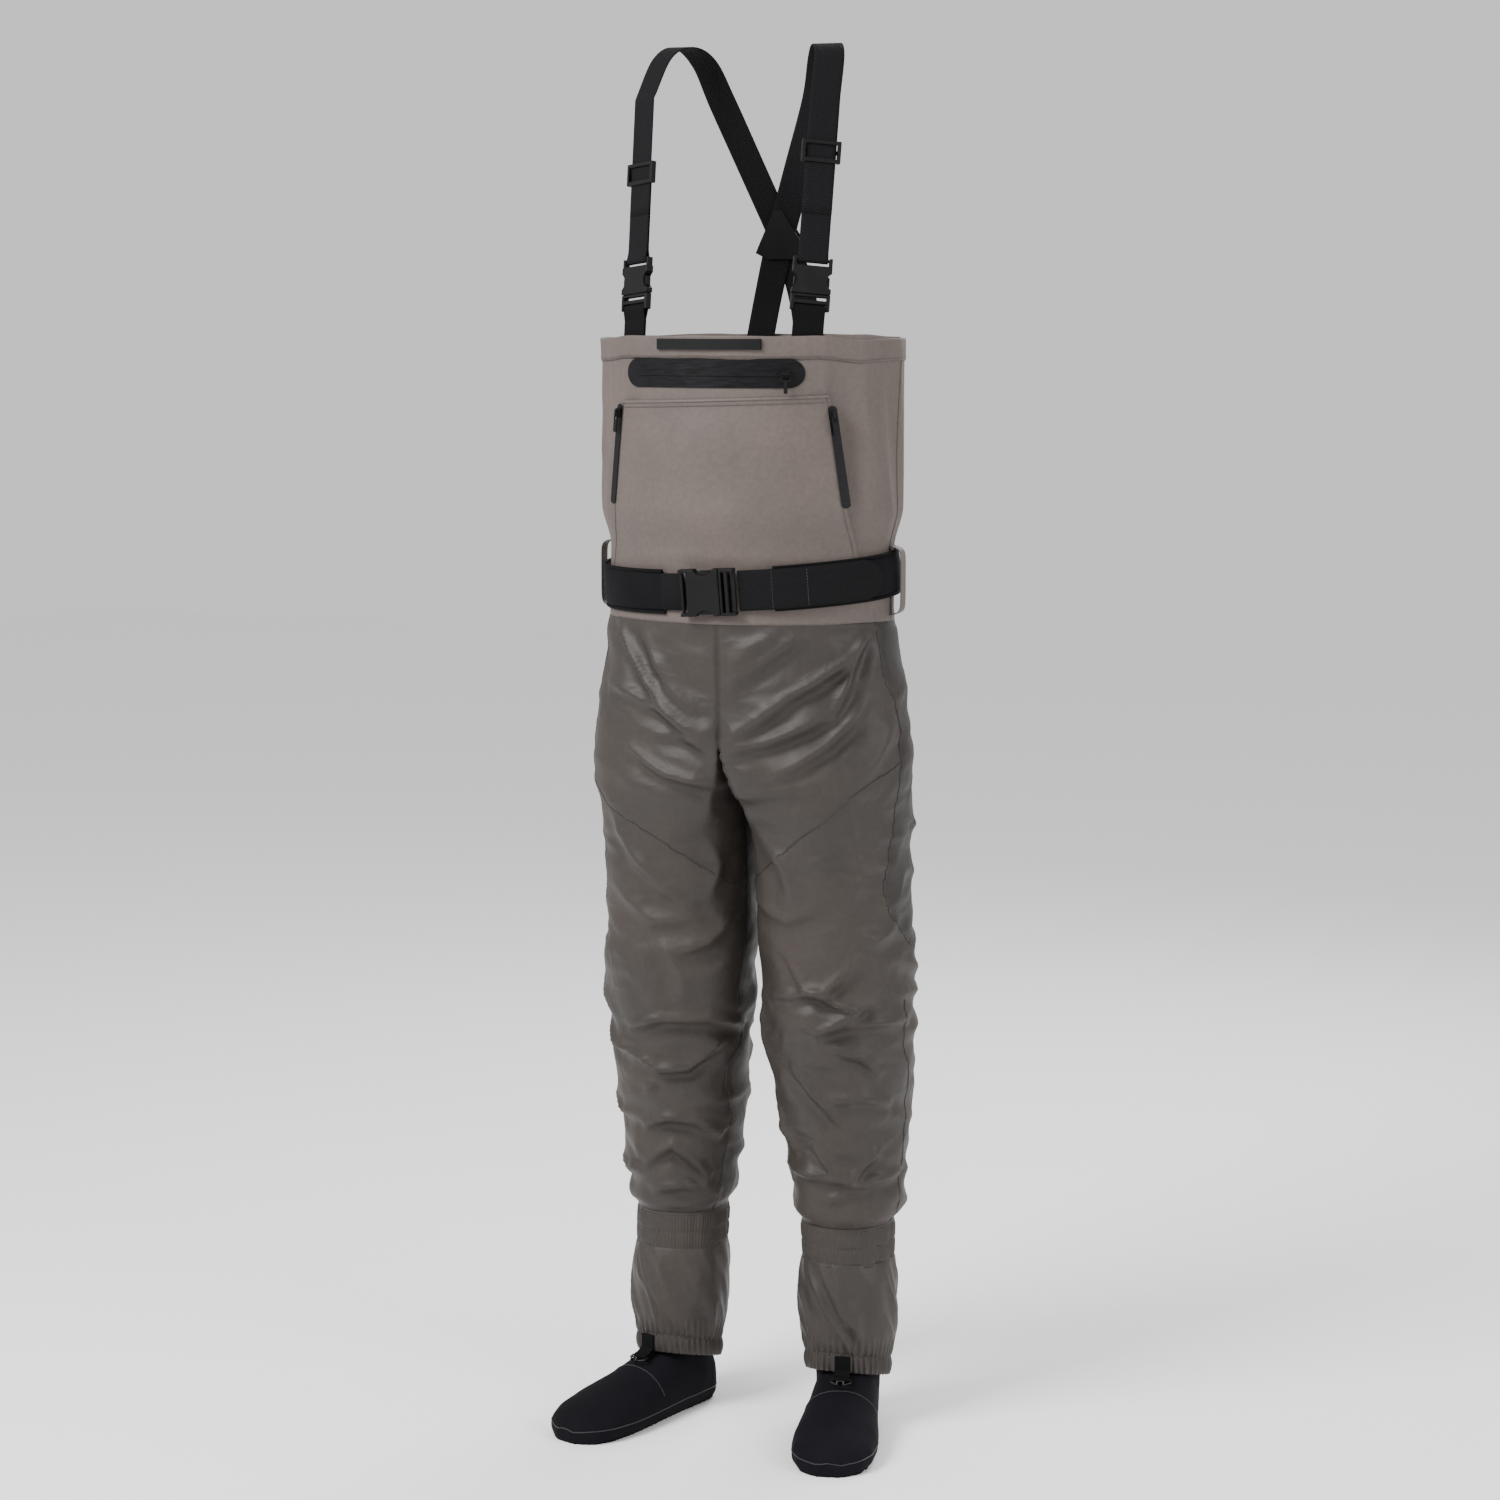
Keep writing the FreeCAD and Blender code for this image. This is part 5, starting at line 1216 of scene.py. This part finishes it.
# ------------------------------------------------------------------ pieces: calf bands, guards and hems
def make_cuffs():
    s = sizes()
    for name, side in SIDES:
        columns = 360
        verts, uv = [], []
        rows = [BAND_TOP + 0.0022, BAND_TOP + 0.0012, BAND_TOP - 0.002]
        rows += [BAND_TOP - 0.004 - 0.040 * k / 12 for k in range(13)] + [BAND_LOW + 0.001, BAND_LOW - 0.0015]
        for z in rows:
            share = (BAND_TOP - z) / (BAND_TOP - BAND_LOW)
            for k in range(columns):
                angle = 2 * math.pi * k / columns
                p = Vector((math.cos(angle) * 4, math.sin(angle) * 4, z * 12 + side))
                pleat = 0.5 + 0.5 * math.sin(angle * 96 + 3.0 * noise.noise(p))
                seam = math.exp(-(((share - 0.06) / 0.035) ** 2)) + math.exp(-(((share - 0.52) / 0.04) ** 2))
                seam += math.exp(-(((share - 0.95) / 0.035) ** 2))
                grow = 0.0016 + 0.0011 * pleat * (1 - 0.5 * min(1, seam)) - 0.0010 * min(1, seam)
                grow += 0.0018 * noise.noise(p * 1.3)
                if z > BAND_TOP + 0.001:
                    grow = 0.0002
                verts.append(leg_point(angle, z, side, grow))
                uv.append((angle * 0.06, z))
        faces = grid_faces(len(rows), columns)
        if side < 0:
            faces = [f[::-1] for f in faces]
        band = new_object(f"calf_pleats_{name}", verts, faces, MATERIALS["leg"], uv)
        thickened(band, 0.0008)
        finish_piece(band, f"shin_{name}", replaces=[f"calf_band_{name}"])

        columns, count = 300, 64
        verts, uv = [], []
        for i in range(count):
            t = i / (count - 1)
            for k in range(columns):
                angle = 2 * math.pi * k / columns
                base = leg_point(angle, 0.12, 1.0)
                low = HEM_Z + math.tan(HEM_SLOPE) * (ANKLE.y - base.y) + HEM_HALF * 0.8
                z = (BAND_LOW + 0.003) + (low - BAND_LOW - 0.003) * t
                p = Vector((math.cos(angle) * 2.2, math.sin(angle) * 2.2, z * 11 + 5 * side))
                slant = Vector((math.cos(angle + z * 9 * side) * 2.6, math.sin(angle + z * 9 * side) * 2.6, z * 4 + side))
                crease = 1 - 2 * abs(noise.noise(slant + noise.noise_vector(p) * 0.35))
                full = math.sin(math.pi * min(1.0, t * 1.02)) ** 0.7
                grow = 0.0012 + full * (0.0042 + 0.0052 * crease + 0.0030 * noise.noise(p))
                near = float(smoothstep((t - 0.72) / 0.28))
                gather = math.sin(angle * s.gathers + 2 * noise.noise(p * 1.5))
                grow += 0.0013 * near * gather
                verts.append(leg_point(angle, z, side, max(grow, 0.0002)))
                uv.append((angle * 0.06, z))
        faces = grid_faces(count, columns)
        if side < 0:
            faces = [f[::-1] for f in faces]
        guard = new_object(f"guard_{name}", verts, faces, MATERIALS["leg"], uv)
        thickened(guard, 0.0008)
        finish_piece(
            guard, blend=(f"shin_{name}", f"foot_{name}", (0, 0, 0.190), (0, 0, 0.100)),
            replaces=[f"gravel_guard_{name}"],
        )  # fmt: skip

        verts, uv, rows = [], [], 22
        for i in range(rows):
            up = HEM_HALF * (1 - 2 * i / (rows - 1))
            for k in range(columns):
                angle = 2 * math.pi * k / columns
                base = leg_point(angle, 0.08, 1.0)
                middle = HEM_Z + math.tan(HEM_SLOPE) * (ANKLE.y - base.y)
                p = Vector((math.cos(angle) * 5, math.sin(angle) * 5, side * 3))
                gather = math.sin(angle * s.gathers + 2 * noise.noise(p))
                fine = math.sin(angle * s.gathers * 2.3 + 3 * noise.noise(p * 2))
                mid = 1 - (up / HEM_HALF) ** 2
                grow = 0.0012 + 0.0016 * mid + (0.0012 * gather + 0.0006 * fine) * (0.5 + 0.5 * mid)
                verts.append(leg_point(angle, middle + up + 0.0008 * fine, side, grow))
                uv.append((angle * 0.06, up))
        faces = grid_faces(rows, columns)
        if side < 0:
            faces = [f[::-1] for f in faces]
        hem = new_object(f"elastic_hem_{name}", verts, faces, MATERIALS["leg"], uv)
        thickened(hem, 0.0016)
        finish_piece(hem, f"foot_{name}", replaces=[f"guard_hem_{name}"])


def make_sleeves():
    """The neoprene sleeve from the foot up to the calf, hidden by the guard."""
    for name, side in SIDES:
        rows, columns = 40, 72
        low_z, high_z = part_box(f"ankle_sleeve_{name}")[0].z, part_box(f"ankle_sleeve_{name}")[1].z
        verts = []
        for i in range(rows):
            t = i / (rows - 1)
            z = high_z + (low_z - high_z) * t
            for k in range(columns):
                angle = 2 * math.pi * k / columns
                x = 0.1150 + 0.0020 * t + (0.0510 - 0.0072 * t) * math.cos(angle)
                y = 0.0555 - 0.0055 * t + (0.0550 - 0.0064 * t) * math.sin(angle)
                verts.append((side * x, y, z))
        faces = grid_faces(rows, columns)
        if side < 0:
            faces = [f[::-1] for f in faces]
        sleeve = new_object(f"sleeve_{name}", verts, faces, MATERIALS["sock"])
        thickened(sleeve, 0.004)
        finish_piece(
            sleeve, blend=(f"shin_{name}", f"foot_{name}", (0, 0, 0.195), (0, 0, 0.112)),
            replaces=[f"ankle_sleeve_{name}"],
        )  # fmt: skip


# ------------------------------------------------------------------ pieces: feet
FOOT_ROWS = [
    (-0.050, 0.013, 0.054), (-0.044, 0.024, 0.074), (-0.030, 0.033, 0.092), (0.0, 0.038, 0.100),
    (0.030, 0.040, 0.092), (0.060, 0.043, 0.076), (0.098, 0.048, 0.063), (0.140, 0.052, 0.053),
    (0.178, 0.049, 0.044), (0.200, 0.039, 0.037), (0.210, 0.025, 0.030), (0.216, 0.012, 0.024),
]  # fmt: skip


def foot_form(name):
    """A closed mesh of the foot and ankle, before its surface is smoothed."""
    verts, faces, steps = [], [], 48
    forward = np.array([row[0] for row in FOOT_ROWS])
    places = np.concatenate([np.linspace(-0.050, 0.19, 60), np.linspace(0.193, 0.216, 12)])
    for f in places:
        half = float(np.interp(f, forward, [row[1] for row in FOOT_ROWS])) + 0.0022
        top = float(np.interp(f, forward, [row[2] for row in FOOT_ROWS]))
        mid = 0.36 * top
        for k in range(steps):
            t = 2 * math.pi * k / steps
            c, s = math.cos(t), math.sin(t)
            power, high = (2.2, top - mid) if s >= 0 else (4.5, mid)
            r = (abs(c) ** power + abs(s) ** power) ** (-1 / power)
            verts.append(on_foot((half * r * c, -f * 1.013, mid + high * r * s), name))
    for i in range(len(places) - 1):
        for k in range(steps):
            a, b = i * steps + k, i * steps + (k + 1) % steps
            faces.append((a, b, b + steps, a + steps))
    faces += [tuple(range(steps)), tuple((len(places) - 1) * steps + k for k in reversed(range(steps)))]
    start = len(verts)
    levels = [0.030, 0.045, 0.060, 0.072, 0.084, 0.096, 0.112]
    for z in levels:
        extra = 0.003 * float(np.clip((z - 0.060) / 0.048, 0, 1))
        for k in range(steps):
            t = 2 * math.pi * k / steps
            verts.append(on_foot(((0.041 + extra) * math.cos(t), (0.046 + extra) * math.sin(t), z), name))
    for i in range(len(levels) - 1):
        for k in range(steps):
            a, b = start + i * steps + k, start + i * steps + (k + 1) % steps
            faces.append((a, b, b + steps, a + steps))
    faces += [
        tuple(start + k for k in range(steps)),
        tuple(start + (len(levels) - 1) * steps + k for k in reversed(range(steps))),
    ]
    return verts, faces


def make_feet():
    for name, side in SIDES:
        verts, faces = foot_form(name)
        foot = new_object(f"foot_{name}_neoprene", verts, faces, MATERIALS["sock"])
        shape = bmesh.new()
        shape.from_mesh(foot.data)
        bmesh.ops.recalc_face_normals(shape, faces=shape.faces)
        shape.to_mesh(foot.data)
        shape.free()
        remesh = foot.modifiers.new("one_skin", "REMESH")
        remesh.mode, remesh.voxel_size = "VOXEL", 0.0025
        settle = foot.modifiers.new("soft", "SMOOTH")
        settle.factor, settle.iterations = 0.5, 16
        settled(foot)
        middle = SHIFT + on_foot((0, 0, 0), name)
        for v in foot.data.vertices:
            local = v.co - middle
            around = math.atan2(local.y, local.x)
            if v.co.z < 0.003:
                v.co.z = 0.0
            v.co.z += 0.0006 * noise.noise(v.co * 30) if v.co.z > 0.01 else 0
            if 0.05 < v.co.z < 0.10:
                away = Vector((math.cos(around), math.sin(around), 0))
                v.co += away * 0.0012 * noise.noise(Vector((v.co.x * 9, v.co.y * 9, v.co.z * 55)))
        shape = bmesh.new()
        shape.from_mesh(foot.data)
        upper = [v for v in shape.verts if v.co.z > 0.107]
        bmesh.ops.delete(shape, geom=upper, context="VERTS")
        lowest = min(shape.faces, key=lambda face: face.calc_center_median().z)
        if lowest.normal.z > 0:
            bmesh.ops.reverse_faces(shape, faces=shape.faces)
        shape.to_mesh(foot.data)
        shape.free()
        foot.data.polygons.foreach_set("use_smooth", [True] * len(foot.data.polygons))
        thickened(foot, 0.004)
        finish_piece(foot, f"foot_{name}", replaces=[f"sock_{name}", f"sole_{name}"])
        add_foot_seams(foot, name)


def add_foot_seams(foot, name):
    """Seam welts round the sole panel, up the heel and along the instep."""
    skin = surface_tree([foot])
    around, heel, instep = [], [], []
    for k in range(97):
        t = 2 * math.pi * k / 96
        around.append(on_foot((0.066 * math.sin(t), -(0.083 + 0.156 * math.cos(t)), 0.019), name))
    for k in range(31):
        t = k / 30
        heel.append(on_foot((0.050, -(0.012 - 0.020 * t), 0.020 + 0.055 * t), name))
    for k in range(41):
        t = k / 40
        turn = math.pi * (t - 0.5) * 0.9
        instep.append(on_foot((0.055 * math.sin(turn), -(0.078 + 0.012 * math.cos(turn)), 0.030 + 0.05 * math.cos(turn)), name))
    lines = [curved(on_surface(skin, line, 0.0001), 2) for line in (around, heel, instep)]
    lines[0][-1] = lines[0][0]
    welts = rod_mesh(f"foot_seams_{name}", lines, 0.0007, MATERIALS["black_thread"], 6)
    finish_piece(welts, f"foot_{name}")


# ------------------------------------------------------------------ seams and stitches
def stitch_tree():
    """Geometry nodes: short thread cylinders along a line, one every pitch."""
    tree = bpy.data.node_groups.new("stitches", "GeometryNodeTree")
    for name, kind in (
        ("Geometry", "NodeSocketGeometry"), ("Length", "NodeSocketFloat"), ("Pitch", "NodeSocketFloat"),
        ("Radius", "NodeSocketFloat"), ("Thread", "NodeSocketMaterial"),
    ):  # fmt: skip
        tree.interface.new_socket(name, in_out="INPUT", socket_type=kind)
    tree.interface.new_socket("Geometry", in_out="OUTPUT", socket_type="NodeSocketGeometry")
    inputs, outputs = tree.nodes.new("NodeGroupInput"), tree.nodes.new("NodeGroupOutput")
    curve = tree.nodes.new("GeometryNodeMeshToCurve")
    points = tree.nodes.new("GeometryNodeCurveToPoints")
    points.mode = "LENGTH"
    rod = tree.nodes.new("GeometryNodeMeshCylinder")
    rod.inputs["Vertices"].default_value = 6
    place = tree.nodes.new("GeometryNodeInstanceOnPoints")
    real, paint = tree.nodes.new("GeometryNodeRealizeInstances"), tree.nodes.new("GeometryNodeSetMaterial")
    links = tree.links
    links.new(inputs.outputs["Geometry"], curve.inputs["Mesh"])
    links.new(curve.outputs["Curve"], points.inputs["Curve"])
    links.new(inputs.outputs["Pitch"], points.inputs["Length"])
    links.new(inputs.outputs["Radius"], rod.inputs["Radius"])
    links.new(inputs.outputs["Length"], rod.inputs["Depth"])
    links.new(points.outputs["Points"], place.inputs["Points"])
    links.new(points.outputs["Rotation"], place.inputs["Rotation"])
    links.new(rod.outputs["Mesh"], place.inputs["Instance"])
    links.new(place.outputs["Instances"], real.inputs["Geometry"])
    links.new(real.outputs["Geometry"], paint.inputs["Geometry"])
    links.new(inputs.outputs["Thread"], paint.inputs["Material"])
    links.new(paint.outputs["Geometry"], outputs.inputs["Geometry"])
    return tree


def stitches(name, lines, material, length=None, pitch=None, radius=0.00038):
    """Threads along lines of points, as one plain mesh."""
    s = sizes()
    tree = bpy.data.node_groups.get("stitches") or stitch_tree()
    verts, edges = [], []
    for line in lines:
        start = len(verts)
        verts += [tuple(Vector(p) + SHIFT) for p in line]
        edges += [(start + k, start + k + 1) for k in range(len(line) - 1)]
    mesh = bpy.data.meshes.new(name)
    mesh.from_pydata(verts, edges, [])
    obj = bpy.data.objects.new(name, mesh)
    bpy.context.scene.collection.objects.link(obj)
    modifier = obj.modifiers.new("stitches", "NODES")
    modifier.node_group = tree
    values = {"Length": length or s.stitch, "Pitch": pitch or s.stitch * 1.35, "Radius": radius, "Thread": material}
    for item in tree.interface.items_tree:
        if item.in_out == "INPUT" and item.name in values:
            modifier[item.identifier] = values[item.name]
    settled(obj)
    if not obj.data.materials:
        obj.data.materials.append(material)
    obj.data.polygons.foreach_set("use_smooth", [True] * len(obj.data.polygons))
    return obj


def on_ring(angle, z, side):
    """The point of the unfolded trousers at an angle round the leg and a height."""
    points, angles = trouser_ring(z)
    gap = np.abs((angles - math.radians(angle) + math.pi) % (2 * math.pi) - math.pi)
    x, y, z = points[int(np.argmin(gap))]
    return Vector((side * x, y, z))


def make_seams(cloth):
    for name, side in SIDES:
        upper, lower = [], []
        for seam in SEAMS[name]:
            turns = curved([Vector((a, z * 100, 0)) for a, z in seam], 14)
            line = on_surface(cloth, [on_ring(p.x, p.y / 100, side) for p in turns], 0.0001)
            above = [p for p in line if p.z >= THIGH_CUT]
            below = [p for p in line if p.z < THIGH_CUT]
            if len(above) > 1:
                upper.append(above)
            if len(below) > 1:
                lower.append(below)
        seat = rod_mesh(f"seat_seams_{name}", upper, 0.0007, MATERIALS["panel"], 6)
        finish_piece(seat, blend=("bib", f"thigh_{name}", (0, 0, 0.925), (0, 0, 0.785)))
        leg = rod_mesh(f"leg_seams_{name}", lower, 0.0007, MATERIALS["panel"], 6)
        finish_piece(leg, blend=(f"thigh_{name}", f"shin_{name}", (0, 0, 0.625), (0, 0, 0.485)))


def make_stitches():
    bib = []
    for gap in (0.012, 0.030):
        bib.append([pouch_point(gap + (1 - 2 * gap) * k / 60, gap * 1.2, 0.0022)[0] for k in range(61)])
    for u in (0.016, 0.984):
        bib.append([pouch_point(u, 0.016 + 0.90 * k / 60, 0.0022)[0] for k in range(61)])
    rim = []
    for k in range(361):
        angle = 2 * math.pi * k / 360
        z = RIM_Z - 0.0225
        rim.append(torso_point(angle, z, 0.0021 + bib_lift(angle, z)) + Vector((0, 0, rim_rise(angle, z))))
    bib.append(rim)
    seams = []
    for angle in (0.0, math.pi):
        heights = np.linspace(RIM_Z - 0.026, SEAM_Z - 0.003, 90)
        seams.append([torso_point(angle, z, 0.0002 + bib_lift(angle, z)) for z in heights])
    welts = rod_mesh("bib_side_seams", seams, 0.0010, MATERIALS["bib"], 8)
    finish_piece(welts, "bib")
    threads = stitches("bib_stitches", bib, MATERIALS["bib_thread"])
    finish_piece(threads, "bib")
    belt = []
    for x in (0.069, 0.108):
        angle = waist_angle(x)
        belt.append([waist_point(angle, 0.0120, -0.021 + 0.042 * k / 10) for k in range(11)])
    tail = stitches("belt_stitches", belt, MATERIALS["black_thread"])
    finish_piece(tail, "bib")
    for name, side in SIDES:
        rings = []
        for z in (BAND_TOP - 0.0028, BAND_TOP - 0.025, BAND_LOW + 0.0028):
            rings.append([leg_point(2 * math.pi * k / 240, z, side, 0.0016) for k in range(241)])
        band = stitches(f"band_stitches_{name}", rings, MATERIALS["leg_thread"], radius=0.0003)
        finish_piece(band, f"shin_{name}")


# ------------------------------------------------------------------ trim, stage and start
def make_trim():
    for node_name, key in CAD_FINISHES.items():
        paint_node(node_name, MATERIALS[key])
    paint_node("front_tabs", MATERIALS["webbing"])


def make_belt_loops():
    """Cloth loops at the side seams that lie over the belt."""
    low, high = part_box("belt_loops")
    half, middle = (high.z - low.z) / 2, (high.z + low.z) / 2
    reach = (high.x - low.x) / 2
    made = []
    for name, side in SIDES:
        shape = [(0.0150, 1.0), (0.0105, 0.985), (0.0050, 0.93), (0.0018, 0.82), (0.0008, 0.6), (0.0007, 0.0)]
        shape += [(a, -b) for a, b in shape[-2::-1]]
        points = [Vector((side * (reach - off), TORSO_Y, middle + up * (half - 0.0008))) for off, up in shape]
        points = curved(points, 6)
        normals = []
        for a, b in zip([points[0]] + points[:-1], points[1:] + [points[-1]]):
            along = (b - a).normalized()
            normals.append(Vector((0, 1, 0)).cross(along).normalized() * -1)
        made.append(ribbon(f"belt_loop_{name}", points, normals, 0.020, 0.0013, MATERIALS["bib"]))
    loops = joined("belt_loop_cloth", made)
    finish_piece(loops, "bib", replaces=["belt_loops"])


def paint_node(name, material):
    for obj in bpy.data.objects:
        if obj.type == "MESH" and (obj.name == name or obj.get("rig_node") == name):
            obj.data.materials.clear()
            obj.data.materials.append(material)
            smooth_by_angle(obj)


def smooth_by_angle(obj):
    """Soft shading across small bends and crisp edges at sharp ones."""
    shape = bmesh.new()
    shape.from_mesh(obj.data)
    for face in shape.faces:
        face.smooth = True
    for edge in shape.edges:
        edge.smooth = edge.is_manifold and edge.calc_face_angle(3.2) < math.radians(35)
    shape.to_mesh(obj.data)
    shape.free()


def make_stage():
    bpy.ops.mesh.primitive_plane_add(size=14, location=(0, 3, 0))
    floor = bpy.context.object
    floor.name = "floor"
    paint, tree, bsdf = shader("floor_paint", Roughness=0.9, Specular_IOR_Level=0.1)
    bsdf.inputs["Base Color"].default_value = (0.97, 0.97, 0.97, 1)
    floor.data.materials.append(paint)
    world = bpy.data.worlds.new("studio")
    bpy.context.scene.world = world
    world.use_nodes = True
    world.node_tree.nodes["Background"].inputs["Color"].default_value = (1.0, 1.0, 1.0, 1)
    world.node_tree.nodes["Background"].inputs["Strength"].default_value = 0.85
    for title, place, size, power in (
        ("key", (-1.5, -2.3, 3.1), 1.5, 190.0), ("fill", (3.0, -0.9, 1.7), 1.5, 50.0), ("rim", (0.4, 2.4, 2.6), 1.6, 60.0),
    ):  # fmt: skip
        bpy.ops.object.light_add(type="AREA", location=place)
        lamp = bpy.context.object
        lamp.name = title
        lamp.data.size, lamp.data.energy = size, power
        aim = Vector((0, 0, 0.9)) - lamp.location
        lamp.rotation_euler = aim.to_track_quat("-Z", "Y").to_euler()
    bpy.ops.object.camera_add(location=(1.4453, -3.9359, 1.441))
    camera = bpy.context.object
    aim = Vector((0.0093, 0.0111, 0.881)) - camera.location
    camera.rotation_euler = aim.to_track_quat("-Z", "Y").to_euler()
    camera.data.sensor_width, camera.data.lens = 36.0, 80.4
    bpy.context.scene.camera = camera


# ------------------------------------------------------------------ operators, panel and start
class WADERS_OT_materials(bpy.types.Operator):
    """Makes the cloth, webbing, neoprene and plastic materials"""

    bl_idname = "waders.materials"
    bl_label = "Materials"

    def execute(self, context):
        make_materials()
        return {"FINISHED"}


class WADERS_OT_trousers(bpy.types.Operator):
    """Builds both halves of the trousers, with their folds and seams"""

    bl_idname = "waders.trousers"
    bl_label = "Trousers"

    def execute(self, context):
        make_seams(make_trousers())
        return {"FINISHED"}


class WADERS_OT_bib(bpy.types.Operator):
    """Builds the bib, its rim hem and the hand pouch"""

    bl_idname = "waders.bib"
    bl_label = "Bib and pouch"

    def execute(self, context):
        make_bib()
        make_pouch()
        return {"FINISHED"}


class WADERS_OT_belt(bpy.types.Operator):
    """Builds the padded belt, its binding, link, tail and loops"""

    bl_idname = "waders.belt"
    bl_label = "Belt"

    def execute(self, context):
        make_belt()
        make_belt_loops()
        return {"FINISHED"}


class WADERS_OT_straps(bpy.types.Operator):
    """Builds the shoulder straps and the webbing through their buckles"""

    bl_idname = "waders.straps"
    bl_label = "Shoulder straps"

    def execute(self, context):
        make_straps()
        return {"FINISHED"}


class WADERS_OT_cuffs(bpy.types.Operator):
    """Builds the calf bands, gravel guards and elastic hems"""

    bl_idname = "waders.cuffs"
    bl_label = "Bands and guards"

    def execute(self, context):
        make_cuffs()
        return {"FINISHED"}


class WADERS_OT_feet(bpy.types.Operator):
    """Builds the neoprene feet and the sleeves above them"""

    bl_idname = "waders.feet"
    bl_label = "Neoprene feet"

    def execute(self, context):
        make_sleeves()
        make_feet()
        return {"FINISHED"}


class WADERS_OT_stitches(bpy.types.Operator):
    """Sews the visible thread lines"""

    bl_idname = "waders.stitches"
    bl_label = "Stitches"

    def execute(self, context):
        make_stitches()
        return {"FINISHED"}


class WADERS_OT_trim(bpy.types.Operator):
    """Gives the buckles, zips and hooks their materials"""

    bl_idname = "waders.trim"
    bl_label = "Trim"

    def execute(self, context):
        make_trim()
        return {"FINISHED"}


class WADERS_OT_stage(bpy.types.Operator):
    """Sets up the floor, lights and camera"""

    bl_idname = "waders.stage"
    bl_label = "Stage"

    def execute(self, context):
        make_stage()
        return {"FINISHED"}


STEPS = (
    WADERS_OT_materials, WADERS_OT_trousers, WADERS_OT_bib, WADERS_OT_belt, WADERS_OT_straps,
    WADERS_OT_cuffs, WADERS_OT_feet, WADERS_OT_stitches, WADERS_OT_trim, WADERS_OT_stage,
)  # fmt: skip


class WADERS_PT_panel(bpy.types.Panel):
    """Sizes, colours and steps of the waders"""

    bl_label = "Chest waders"
    bl_idname = "WADERS_PT_panel"
    bl_space_type = "VIEW_3D"
    bl_region_type = "UI"
    bl_category = "Waders"

    def draw(self, context):
        for name in WadersSizes.__annotations__:
            self.layout.prop(context.scene.waders, name)
        for step in STEPS:
            self.layout.operator(step.bl_idname)


CLASSES = (WadersSizes, *STEPS, WADERS_PT_panel)


def register():
    for cls in CLASSES:
        bpy.utils.register_class(cls)
    bpy.types.Scene.waders = PointerProperty(type=WadersSizes)


def unregister():
    del bpy.types.Scene.waders
    for cls in reversed(CLASSES):
        bpy.utils.unregister_class(cls)


def main():
    register()
    for step in STEPS:
        getattr(bpy.ops.waders, step.bl_idname.split(".")[1])()


if __name__ == "__main__":
    main()
